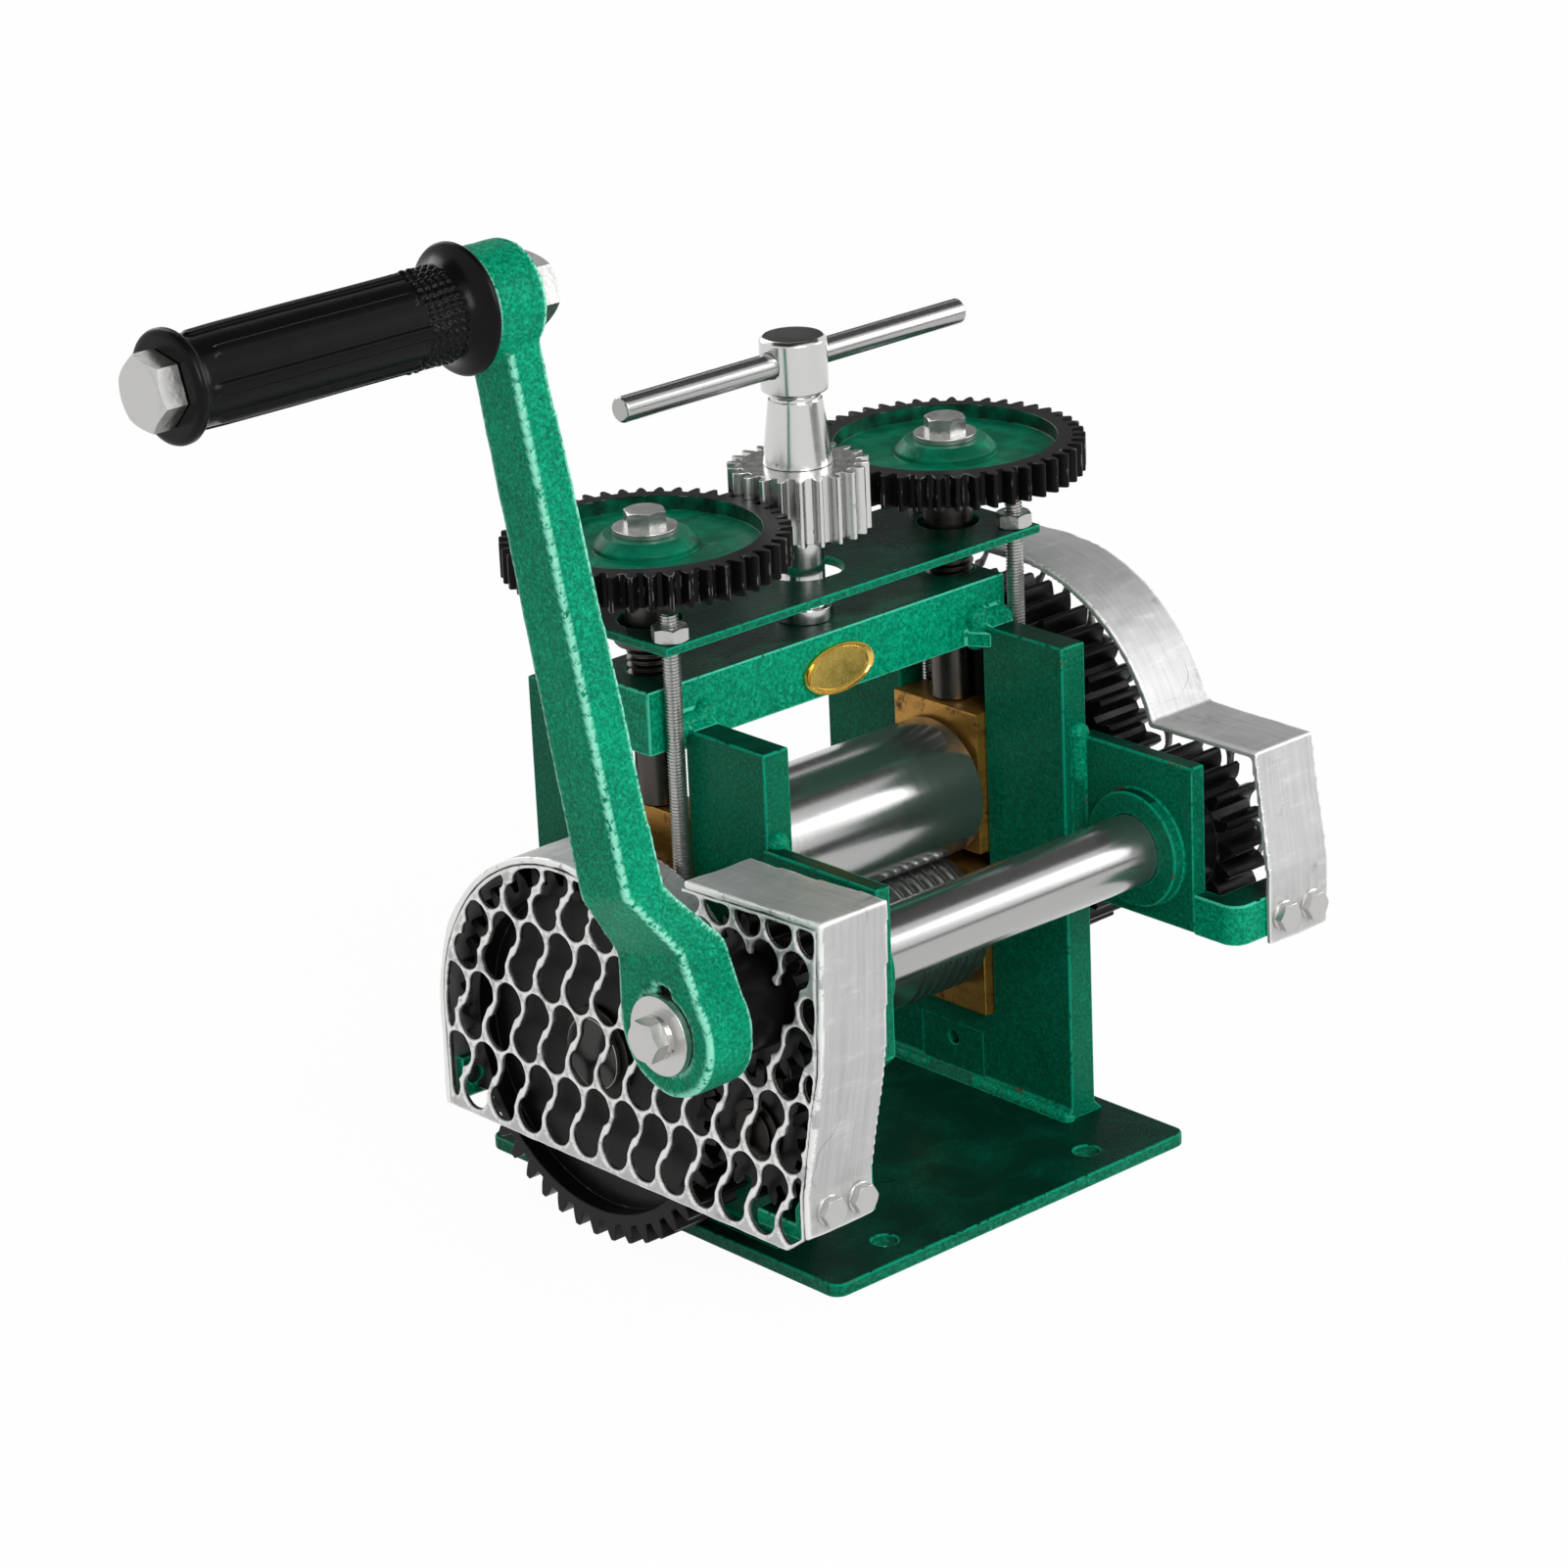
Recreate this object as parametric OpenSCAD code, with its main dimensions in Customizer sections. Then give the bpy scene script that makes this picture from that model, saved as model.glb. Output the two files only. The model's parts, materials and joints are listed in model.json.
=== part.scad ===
// Hand cranked rolling mill for a jeweller's bench.
// X runs along the rollers with the crank on the left, Y runs from the drive shaft at the front
// to the back, and Z is up. The origin is the middle of the base plate's underside.

/* [Base plate] */
// Width of the base plate, along the rollers
base_w = 104; // [94:1:105]
// Length of the base plate, front to back
base_l = 112; // [90:1:140]
// Thickness of the base plate
base_t = 3; // [2:0.5:6]
// Corner radius of the base plate
base_corner_r = 3; // [1:0.5:8]
// Diameter of the four mounting holes
base_hole_d = 5.5; // [3:0.5:8]
// Distance of a mounting hole from the side of the base plate
base_hole_side = 22; // [18:1:26]
// Distance of a mounting hole from the front or back of the base plate
base_hole_end = 9; // [8:1:14]

/* [Frame] */
// Distance between the inner faces of the two uprights
throat_w = 78; // [70:1:84]
// Thickness of an upright
upright_t = 7; // [6:0.5:7]
// Length of an upright, front to back
upright_l = 74; // [64:1:78]
// Height of the top of an upright above the bench
upright_top = 112; // [108:1:125]
// Distance of the roller axes behind the middle of the base plate
roller_y = 3; // [-2:0.5:6]
// Width of the welded filler under a lower block
filler_w = 19.4; // [10:0.2:24]
// Height of the welded filler under a lower block
filler_h = 13; // [8:0.5:15]
// Leg of the weld along the foot of an upright
foot_weld = 2.5; // [1:0.5:4]
// Width of the top yoke, front to back
yoke_w = 22.4; // [18:0.2:23]
// Height of the top yoke
yoke_h = 13.8; // [10:0.2:18]
// Depth that the yoke sits into the slots of the uprights
yoke_bite = 4.5; // [2:0.5:8]
// Reach of the yoke to the left of the middle
yoke_reach_left = 53.8; // [50:0.2:56]
// Reach of the yoke to the right of the middle
yoke_reach_right = 48; // [47:0.2:49]

/* [Rollers and blocks] */
// Diameter of both rollers
roller_d = 31; // [26:0.5:33]
// Diameter of the roller journals
journal_d = 16; // [12:0.5:18]
// Height of the lower roller axis above the bench
lower_axis_z = 42; // [42:0.5:50]
// Gap between the rollers when the mill is closed
roll_gap = 0.2; // [0.1:0.05:0.6]
// Largest opening of the rollers
lift_max = 7; // [3:0.5:7]
// Number of wire grooves in the lower roller
groove_count = 6; // [3:1:8]
// Pitch of the wire grooves
groove_pitch = 3.1; // [2.6:0.1:3.6]
// Width of the widest wire groove
groove_w = 2.4; // [1.2:0.1:2.5]
// Width of a bearing block, front to back
block_w = 26; // [22:0.2:28]
// Distance that a bearing block stands in from the upright
block_proud = 2.3; // [1.5:0.1:4]
// Distance from the lower roller axis to the bottom of its blocks
block_below = 20.5; // [14:0.5:21]
// Distance from a roller axis to the parting face of its blocks
block_inner = 13.4; // [11:0.2:14]
// Distance from the upper roller axis to the top of its blocks
block_above = 19; // [14:0.5:22]
// Width of the outer flange of a bearing block
flange_w = 35; // [33:0.5:38]
// Thickness of the outer flange of a bearing block
flange_t = 5.8; // [4.5:0.1:5.8]
// Height of the upper block flange above the roller axis
flange_above = 5.8; // [4:0.2:10]
// Thickness of a thrust washer
thrust_t = 1; // [0.6:0.1:1.5]
// Outer diameter of a thrust washer
thrust_d = 23; // [20:0.5:25]

/* [Roller gears] */
// Module of the roller gears and their pinions
gear_module = 1.75; // [1.7:0.01:1.75]
// Number of teeth on a roller gear
gear_teeth = 45; // [40:1:45]
// Number of teeth on a drive pinion
pinion_teeth = 18; // [16:1:18]
// Number of teeth on the idler
idler_teeth = 16; // [15:1:17]
// Face width of the roller gears
gear_w = 13.5; // [10:0.5:14]
// Face width of the right drive pinion
right_pinion_w = 11.5; // [8:0.5:12]
// Distance from the outer face of an upright to the gears
gear_stand_off = 7; // [6.5:0.1:7.5]
// Backlash of every gear pair
backlash = 0.3; // [0.15:0.05:0.4]
// Thickness of the rim under the teeth of a roller gear
gear_rim = 2.4; // [1.5:0.1:5]
// Thickness of the web of a roller gear
gear_web = 5; // [3:0.5:7]
// Diameter of the hub of a roller gear
gear_hub_d = 28; // [24:0.5:34]
// Pressure angle of every gear
pressure_angle = 20; // [18:0.5:22]

/* [Drive shaft] */
// Height of the drive shaft axis above the bench
shaft_z = 71; // [68:0.5:74]
// Diameter of the drive shaft
shaft_d = 15.6; // [12:0.2:16]
// Thickness of a shaft bracket
bracket_t = 4; // [3:0.5:5]
// Distance of the bracket's inner face from the upright's inner face
bracket_set = 4.3; // [3:0.1:5]
// Distance from the drive shaft axis to the front of a bracket
bracket_front = 15; // [13.5:0.5:16]
// Distance from the drive shaft axis to the top of a bracket
bracket_above = 21; // [15:0.5:24]
// Distance from the drive shaft axis to the bottom of the right bracket
bracket_below = 16; // [14:0.5:17]
// Outer diameter of the bush on a bracket
bush_d = 25.5; // [22:0.5:28]
// Length that the bush stands in from the bracket
bush_proud = 3; // [1:0.5:5]
// Diameter of the idler stud
stud_d = 10; // [8:0.5:11]
// Width of a drive key
key_w = 4; // [3:0.5:5]
// Height of a drive key
key_h = 4; // [3:0.5:5]

/* [Crank] */
// Length of the crank, from the drive shaft to the handle
crank_length = 147.8; // [110:0.2:180]
// Lean of the crank towards the back
crank_lean = 13.1; // [0:0.1:25]
// Diameter of the crank hub
hub_d = 27; // [24:0.5:32]
// Length of the crank hub
hub_len = 12; // [11:0.2:20]
// Distance that the arm stands out beyond the hub
arm_offset = 8.1; // [6:0.1:12]
// Width of the arm at the handle
arm_w_top = 12.8; // [10:0.2:18]
// Width of the arm above the hub
arm_w_low = 15; // [14:0.2:22]
// Thickness of the arm at the handle
arm_t_top = 8.4; // [7:0.2:12]
// Thickness of the arm above the hub
arm_t_low = 10; // [10:0.2:16]
// Diameter of the boss that carries the handle
boss_d = 22.5; // [18:0.5:26]
// Distance that the boss stands out beyond the arm
boss_proud = 4.1; // [2:0.1:8]
// Length of the rubber grip
grip_len = 68.8; // [50:0.2:90]
// Diameter of the rubber grip at its middle
grip_d = 18.4; // [18:0.1:26]
// Diameter of the grip's flange at the arm
grip_flange_d = 26; // [26:0.5:34]
// Diameter of the grip's flange at its free end
grip_end_d = 22; // [22:0.5:28]
// Diameter of the handle bolt
handle_bolt_d = 8; // [6:0.5:9]

/* [Screw gears] */
// Distance between the two pressure screws
screw_gap = 85; // [80:1:86]
// Diameter of a pressure screw
screw_d = 10.6; // [9:0.2:12]
// Pitch of the pressure screw's thread
screw_pitch = 1.5; // [1:0.25:2]
// Number of teeth on a screw gear
screw_gear_teeth = 46; // [40:1:48]
// Number of teeth on the spindle pinion
spindle_teeth = 22; // [20:1:26]
// Face width of a screw gear
screw_gear_w = 7.4; // [6:0.2:9]
// Thickness of the rim under the teeth of a screw gear
screw_gear_rim = 3.2; // [2:0.2:5]
// Thickness of the web of a screw gear
screw_gear_web = 4.2; // [2.4:0.2:5]
// Diameter of the hub of a screw gear
screw_hub_d = 22; // [20:0.5:28]
// Face width of the spindle pinion
spindle_pinion_w = 14.5; // [12:0.5:16]
// Gap between the lifting plate and the screw gears
screw_gear_lift = 11.2; // [9:0.2:12]

/* [Lifting plate] */
// Length of the lifting plate, along the rollers
plate_w = 106.6; // [104:0.2:112]
// Width of the lifting plate, front to back
plate_l = 34.7; // [33:0.1:40]
// Thickness of the lifting plate
plate_t = 2; // [1.5:0.1:3]
// Gap between the yoke and the lifting plate when the mill is closed
plate_lift = 8.9; // [6:0.1:12]
// Diameter of the plate's holes for the pressure screws
plate_screw_hole_d = 13.4; // [13:0.1:14]
// Diameter of the plate's hole for the spindle
plate_spindle_hole_d = 17; // [14:0.2:19]
// Diameter of a lifting rod
rod_d = 4; // [3:0.2:4]
// Distance between the rods front to back
rod_gap_y = 27.2; // [27:0.1:28]

/* [Spindle] */
// Diameter of the spindle
spindle_d = 9.5; // [8:0.1:11]
// Diameter of the collar on the yoke
spindle_collar_d = 12.4; // [11.5:0.1:14]
// Diameter of the spindle's cone above the pinion
cone_d = 14.8; // [13:0.1:17]
// Diameter of the spindle's neck below the head
neck_d = 11.4; // [10:0.1:12.5]
// Diameter of the spindle's head
head_d = 14.2; // [12.5:0.1:16]
// Height of the spindle's head
head_h = 11.4; // [9:0.2:14]
// Height of the spindle's cone
cone_h = 14; // [10:0.5:20]
// Diameter of the tommy bar
tommy_d = 5.5; // [4:0.1:6.5]
// Length of the tommy bar
tommy_len = 95.4; // [70:1:120]

/* [Covers] */
// Thickness of the sheet round a gear cover
band_t = 1.5; // [1:0.1:1.8]
// Thickness of the pierced face of a gear cover
grille_t = 1.6; // [1.2:0.1:2]
// Gap between the roller gears and the pierced face
cover_side_gap = 2; // [1.5:0.1:2.5]
// Gap between the roller gears and the sheet round them
cover_gear_gap = 1.5; // [1.2:0.1:3]
// Gap between a bearing block's flange and the sheet round the gears
band_side_gap = 0.35; // [0.2:0.05:1]
// Distance from the left roller gear axis to the bottom of its cover
left_cover_drop = 22.7; // [20:0.1:26]
// Distance from the right roller gear axis to the bottom of its cover
right_cover_drop = 20; // [18:0.5:20]
// Width of a lobe of a pierced hole
lobe_d = 7.6; // [5:0.1:7.6]
// Distance between the pierced holes along a row
hole_pitch = 9.1; // [8.6:0.1:11]
// Distance between the rows of pierced holes
row_pitch = 16.2; // [15:0.1:18]
// Width of the bare rim round the pierced holes
grille_rim = 1.2; // [0.8:0.1:3]
// Diameter of a cover bolt
cover_bolt_d = 4; // [4:0.5:5]
// Thickness of a cover lug behind the sheet
lug_t = 8; // [6:0.5:8.5]

/* [Hidden] */
$fn = 48;

// Colours
paint = [0.02, 0.47, 0.30];
bare_iron = [0.36, 0.36, 0.36];
black_iron = [0.06, 0.06, 0.065];
polished = [0.75, 0.75, 0.76];
zinc = [0.80, 0.79, 0.76];
cover_grey = [0.66, 0.66, 0.67];
old_brass = [0.62, 0.42, 0.16];
dark_steel = [0.27, 0.25, 0.24];
rubber = [0.03, 0.03, 0.03];

// Fits and cutting overrun
fit_gap = 0.05;
face_gap = 0.05;
slide_gap = 0.2;
overrun = 1;

// Frame places
upright_in = throat_w / 2;
upright_out = upright_in + upright_t;
upright_front = roller_y - upright_l / 2;
upright_back = roller_y + upright_l / 2;
slot_w = block_w + 2 * slide_gap;
block_bottom = lower_axis_z - block_below;
yoke_bottom = upright_top - yoke_bite;
yoke_top = yoke_bottom + yoke_h;
slot_weld = (slot_w - yoke_w) / 2;
yoke_bead = 3;
pin_hole_d = 3;

// Roller places
upper_axis_z = lower_axis_z + roller_d + roll_gap;
block_in = upright_in - block_proud;
flange_in = upright_out + fit_gap;
flange_out = flange_in + flange_t;
face_half = block_in - thrust_t - 2 * face_gap;
journal_short = flange_out;
groove_edge = 3.4;
groove_step_share = 0.09;

// Gear places
gear_in = upright_out + gear_stand_off;
gear_out = gear_in + gear_w;
gear_tip_r = gear_module * (gear_teeth / 2 + 1);
gear_pair = gear_module * (gear_teeth + pinion_teeth) / 2;
shaft_y = roller_y - sqrt(pow(gear_pair, 2) - pow(upper_axis_z - shaft_z, 2));
pinion_tip_r = gear_module * (pinion_teeth / 2 + 1);
idler_tip_r = gear_module * (idler_teeth / 2 + 1);
hub_recess = 4.5;
hub_face = gear_out - hub_recess;
clip_t = 1.2;
clip_depth = 1;
clip_wall = 2;
clip_open = 60;
hub_gap = 0.3;

// Idler place, below the line from the drive shaft to the lower roller
idler_to_shaft = gear_module * (pinion_teeth + idler_teeth) / 2;
idler_to_gear = gear_module * (gear_teeth + idler_teeth) / 2;
reach_y = roller_y - shaft_y;
reach_z = lower_axis_z - shaft_z;
reach = sqrt(pow(reach_y, 2) + pow(reach_z, 2));
idler_along = (pow(reach, 2) + pow(idler_to_shaft, 2) - pow(idler_to_gear, 2)) / (2 * reach);
idler_aside = sqrt(pow(idler_to_shaft, 2) - pow(idler_along, 2));
idler_y = shaft_y + (idler_along * reach_y + idler_aside * reach_z) / reach;
idler_z = shaft_z + (idler_along * reach_z - idler_aside * reach_y) / reach;

// Directions from one gear centre to the next, and the turn that puts the teeth in mesh
to_upper = atan2(upper_axis_z - shaft_z, roller_y - shaft_y);
to_idler = atan2(idler_z - shaft_z, idler_y - shaft_y);
idler_to_lower = atan2(lower_axis_z - idler_z, roller_y - idler_y);
upper_phase = mesh_phase(0, pinion_teeth, gear_teeth, to_upper);
idler_phase = mesh_phase(0, pinion_teeth, idler_teeth, to_idler);
lower_phase = mesh_phase(idler_phase, idler_teeth, gear_teeth, idler_to_lower);
right_screw_phase = mesh_phase(0, spindle_teeth, screw_gear_teeth, 0);
left_screw_phase = mesh_phase(0, spindle_teeth, screw_gear_teeth, 180);

// Shaft bracket places
bracket_in = upright_in + bracket_set;
bracket_out = bracket_in + bracket_t;
stud_foot_below = 21;
stud_foot_front = 8.6;
stud_foot_step = 8;
bracket_weld = 2.5;

// Crank places, outwards from the left cover
cover_out = gear_out + cover_side_gap + grille_t;
spacer_d = 20;
spacer_gap = 8.9;
crank_hub_in = cover_out + spacer_gap;
crank_hub_out = crank_hub_in + hub_len;
arm_out = crank_hub_out + arm_offset;
joggle_low = hub_d / 2 + 0.02 * crank_length;
joggle_high = hub_d + 0.02 * crank_length;
washer_d = 16.6;
washer_t = 1.6;
lock_washer_d = 9.2;
lock_washer_t = 1.2;
crank_bolt_d = 5;
crank_bolt_af = 8;
crank_bolt_head = 3.2;
crank_bolt_reach = 16;
handle_bolt_af = 13;
handle_bolt_head = 5.3;
handle_nut_t = 6.5;
handle_tip = 1.4;
boss_in = arm_out - arm_t_top;
boss_out = arm_out + boss_proud;
grip_in = boss_out + hub_gap;
grip_out = grip_in + grip_len;

// Lifting gear places
screw_x = screw_gap / 2;
screw_module = screw_gap / (screw_gear_teeth + spindle_teeth);
plate_bottom = yoke_top + plate_lift;
plate_top = plate_bottom + plate_t;
block_top = upper_axis_z + block_above;
flange_top = upper_axis_z + flange_above;
screw_gear_bottom = plate_top + screw_gear_lift;
screw_gear_top = screw_gear_bottom + screw_gear_w;
screw_collar_d = 15.4;
screw_pin_d = screw_d - 1.2;
screw_pin_set = 1;
screw_collar_t = 2.6;
screw_spigot_d = 8;
screw_bolt_d = 5;
screw_bolt_af = 8;
screw_bolt_head = 3.6;
screw_bolt_reach = 12;
screw_washer_d = 13.6;
screw_washer_t = 1.3;
hub_bevel = 2.2;
rod_x = (flange_in + flange_out) / 2;
rod_nut_af = 7;
rod_nut_t = 3.2;
rod_tip = 2.6;
rod_grip = 10;

// Spindle places
spindle_collar_h = 3;
pinion_clear = 1.8;
pinion_bottom = plate_top + lift_max + pinion_clear;
pinion_top = pinion_bottom + spindle_pinion_w;
cone_top = pinion_top + cone_h;
groove_h = 2;
spindle_top = cone_top + groove_h + head_h;
tommy_z = spindle_top - 0.46 * head_h;
spindle_tail = 3;
tail_clip_t = 1.2;
head_chamfer = 0.8;

// Cover places
cover_r = gear_tip_r + cover_gear_gap + band_t;
band_in = flange_out + band_side_gap;
band_w = cover_out - grille_t - band_in;
box_side_gap = 1.6;
box_back_set = 1.2;
left_box_head = 4;
left_box_nose = 6.4;
left_foot_nose = 2.4;
right_box_head = 7;
right_box_nose = 7.6;
right_foot_nose = 3.8;
left_box_back = shaft_y + pinion_tip_r - box_back_set;
left_box_top = shaft_z + pinion_tip_r + left_box_head;
left_box_front = shaft_y - pinion_tip_r - left_box_nose;
left_foot_front = idler_y - idler_tip_r - left_foot_nose;
right_box_top = shaft_z + pinion_tip_r + right_box_head;
right_box_front = shaft_y - pinion_tip_r - right_box_nose;
right_foot_front = right_box_front - right_foot_nose;
hood_step = 9.5;
left_cover_bottom = lower_axis_z - left_cover_drop;
right_cover_bottom = upper_axis_z - right_cover_drop;
spacer_hole_d = spacer_d + 2;
lobe_side = hole_pitch / 4;
lobe_rise = 4.4;
waist_w = 5.8;
hole_rise = 9.9;
hole_back = 4.4;
foot_cut = 7;
foot_cut_h = 5.1;
lug_edge = 1.5;
left_lug_edge = 5.3;
left_lug_step = 3.6;
left_lug_foot = 5.2;
left_lug_head = 1.9;
left_strap_set = 3.2;
left_strap_h = 3.4;
left_strap_join = 0.2;
left_bolt_reach = 3.4;
lug_h = 9;
lug_end = 0.8;
lug_back_t = 2.4;
bolt_inset_share = 0.24;
cover_bolt_af = 7;
cover_bolt_head = 2.8;
cover_bolt_reach = 6;
back_bolt_reach = 1.6;

// Angle by which an involute has turned at a radius, in degrees
function involute_turn(base_r, r) = r <= base_r ? 0 : sqrt(pow(r / base_r, 2) - 1) * 180 / PI - acos(base_r / r);

// Half of a tooth's angle at a radius
function tooth_half(pitch_r, teeth, r) =
    90 / teeth - backlash / (4 * pitch_r) * 180 / PI
    + involute_turn(pitch_r * cos(pressure_angle), pitch_r)
    - involute_turn(pitch_r * cos(pressure_angle), r);

// Turn of a gear whose space meets the tooth of its mate in the given direction
function mesh_phase(mate_phase, mate_teeth, teeth, direction) =
    direction + 180 - (0.5 - (direction - mate_phase) * mate_teeth / 360) * 360 / teeth;

// Flank points of one tooth as radius and angle from its middle
function flank(pitch_r, teeth, root_r, tip_r) =
    let (foot = max(root_r, pitch_r * cos(pressure_angle)), steps = 3)
    concat(
        root_r < foot ? [[root_r, tooth_half(pitch_r, teeth, foot)]] : [],
        [for (k = [0 : steps]) let (r = foot + (tip_r - foot) * k / steps) [r, tooth_half(pitch_r, teeth, r)]]
    );

// Outline of an external spur gear
module gear_outline(module_size, teeth, phase) {
    pitch_r = module_size * teeth / 2;
    side = flank(pitch_r, teeth, pitch_r - 1.25 * module_size, pitch_r + module_size);
    last = len(side) - 1;
    polygon([
        for (k = [0 : teeth - 1])
        for (j = [0 : 2 * last + 1])
        let (
            point = j <= last ? side[j] : side[2 * last + 1 - j],
            angle = phase + 360 * k / teeth + (j <= last ? -point[1] : point[1])
        )
        point[0] * [cos(angle), sin(angle)]
    ]);
}

// Puts a flat shape's X and Y onto Y and Z and its height along X
module along_x(x, y, z) {
    translate([x, y, z]) rotate([90, 0, 90]) children();
}

// Mirrors a right hand piece to the left when the side is negative
module on_side(side) {
    if (side > 0) children();
    else mirror([1, 0, 0]) children();
}

// Round bar along X between two places
module x_bar(d, x0, x1, y, z) {
    along_x(x0, y, z) cylinder(d = d, h = x1 - x0);
}

// Box between two corners
module box(low, high) {
    translate(low) cube(high - low);
}

// Hexagonal prism along Z with the given width across flats
module hex(af, h) {
    cylinder(d = af / cos(30), h = h, $fn = 6);
}

// Ring that snaps into a groove
module clip_ring(seat_d, t) {
    difference() {
        cylinder(d = seat_d + 2 * clip_wall + 2 * clip_depth, h = t);
        translate([0, 0, -overrun]) cylinder(d = seat_d + 2 * fit_gap, h = t + 2 * overrun);
        translate([0, 0, -overrun]) linear_extrude(t + 2 * overrun)
            polygon(seat_d * [[0, 0], [cos(clip_open / 2), -sin(clip_open / 2)], [cos(clip_open / 2), sin(clip_open / 2)]]);
    }
}

module base_plate() {
    color(paint) difference() {
        linear_extrude(base_t) union() {
            square([base_w - 2 * base_corner_r, base_l], center = true);
            square([base_w, base_l - 2 * base_corner_r], center = true);
            for (sx = [-1, 1], sy = [-1, 1])
                translate([sx * (base_w / 2 - base_corner_r), sy * (base_l / 2 - base_corner_r)])
                    circle(r = base_corner_r);
        }
        for (sx = [-1, 1], sy = [-1, 1])
            translate([sx * (base_w / 2 - base_hole_side), sy * (base_l / 2 - base_hole_end), -overrun])
                cylinder(d = base_hole_d, h = base_t + 2 * overrun);
    }
}

// Weld with a three cornered section along the foot of an upright
module foot_bead(x, lean) {
    translate([x, upright_back, base_t]) rotate([90, 0, 0]) linear_extrude(upright_l)
        polygon([[0, 0], [lean * foot_weld, 0], [0, foot_weld]]);
}

module upright(side) {
    on_side(side) {
        difference() {
            box([upright_in, upright_front, base_t], [upright_out, upright_back, upright_top]);
            box([upright_in - overrun, roller_y - slot_w / 2, block_bottom],
                [upright_out + overrun, roller_y + slot_w / 2, upright_top + overrun]);
            box([upright_in - overrun, roller_y - filler_w / 2, base_t - overrun],
                [upright_out + overrun, roller_y + filler_w / 2, base_t + filler_h]);
        }
        foot_bead(upright_in, -1);
        foot_bead(upright_out, 1);
    }
}
module left_upright() { color(paint) upright(-1); }
module right_upright() { color(paint) upright(1); }

module slot_filler(side) {
    color(paint) on_side(side) difference() {
        box([upright_in, roller_y - filler_w / 2, base_t], [upright_out, roller_y + filler_w / 2, base_t + filler_h]);
        x_bar(pin_hole_d, upright_in - overrun, upright_out + overrun, roller_y, base_t + filler_h * 0.7);
    }
}
module left_slot_filler() { slot_filler(-1); }
module right_slot_filler() { slot_filler(1); }

// Weld that fills the slot beside the yoke and runs over the top of the upright
module yoke_weld(side, face) {
    on_side(side) translate([upright_in, roller_y, 0]) mirror([0, face > 0 ? 0 : 1, 0]) {
        box([0, yoke_w / 2, yoke_bottom], [upright_t, slot_w / 2, upright_top]);
        translate([0, yoke_w / 2, upright_top]) rotate([90, 0, 90]) linear_extrude(upright_t)
            polygon([[0, 0], [slot_weld + yoke_bead, 0], [0, yoke_bead]]);
        translate([0, yoke_w / 2, yoke_bottom]) linear_extrude(yoke_bite - overrun)
            polygon([[0, 0], [-yoke_bead, 0], [0, slot_weld + yoke_bead]]);
    }
}

module top_yoke() {
    color(paint) difference() {
        union() {
            box([-yoke_reach_left, roller_y - yoke_w / 2, yoke_bottom],
                [yoke_reach_right, roller_y + yoke_w / 2, yoke_top]);
            for (side = [-1, 1], face = [-1, 1]) yoke_weld(side, face);
        }
        for (side = [-1, 1]) translate([side * screw_x, roller_y, yoke_bottom - overrun])
            cylinder(d = screw_d + 2 * fit_gap, h = yoke_h + 2 * overrun);
        translate([0, roller_y, yoke_bottom - overrun])
            cylinder(d = spindle_d + 2 * fit_gap, h = yoke_h + 2 * overrun);
    }
}

// Side outline of a shaft bracket, on the left with a foot for the idler stud
function bracket_points(with_foot) =
    let (
        front = shaft_y - bracket_front,
        low = shaft_z - bracket_below,
        foot_front = idler_y - stud_foot_front,
        foot_low = idler_z - stud_foot_below
    )
    with_foot
    ? [[upright_front, shaft_z + bracket_above], [front, shaft_z + bracket_above], [front, low],
       [foot_front, low - stud_foot_step], [foot_front, foot_low], [upright_front, foot_low]]
    : [[upright_front, shaft_z + bracket_above], [front, shaft_z + bracket_above], [front, low],
       [upright_front, low]];

module shaft_bracket(side, with_foot) {
    foot_low = with_foot ? idler_z - stud_foot_below : shaft_z - bracket_below;
    on_side(side) difference() {
        union() {
            along_x(bracket_in, 0, 0) linear_extrude(bracket_t) polygon(bracket_points(with_foot));
            x_bar(bush_d, bracket_in - bush_proud, bracket_in, shaft_y, shaft_z);
            translate([bracket_in, upright_front, foot_low])
                linear_extrude(shaft_z + bracket_above - foot_low)
                polygon([[0, 0], [-bracket_weld, 0], [0, -bracket_weld]]);
        }
        x_bar(shaft_d + 2 * fit_gap, bracket_in - bush_proud - overrun, bracket_out + overrun, shaft_y, shaft_z);
        if (with_foot)
            x_bar(stud_d, bracket_in - overrun, bracket_out + overrun, idler_y, idler_z);
    }
}
module left_shaft_bracket() { color(paint) shaft_bracket(-1, true); }
module right_shaft_bracket() { color(paint) shaft_bracket(1, false); }

// Flat outline of the left cover, drawn in by an inset and carried below its bottom edge by a drop
module left_cover_outline(inset, drop) {
    bottom = left_cover_bottom - drop;
    r = cover_r - inset;
    intersection() {
        union() {
            translate([roller_y, lower_axis_z]) circle(r = r, $fn = 96);
            translate([roller_y - r, bottom]) square([2 * r, lower_axis_z - bottom]);
            polygon([
                [left_box_back + inset, left_box_top - inset],
                [left_box_front + inset, left_box_top + box_side_gap - inset],
                [left_box_front + box_side_gap + inset, shaft_z - pinion_tip_r / 2],
                [left_foot_front + inset, idler_z - idler_tip_r / 2],
                [left_foot_front + inset, bottom + foot_cut_h * (1 - inset / foot_cut)],
                [left_foot_front + foot_cut, bottom],
                [roller_y, bottom],
                [roller_y, lower_axis_z],
                [left_box_back + inset, lower_axis_z]
            ]);
        }
        translate([left_box_front - overrun, bottom])
            square([cover_r + roller_y - left_box_front + 2 * overrun, left_box_top + 2 * box_side_gap - bottom]);
    }
}

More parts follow.
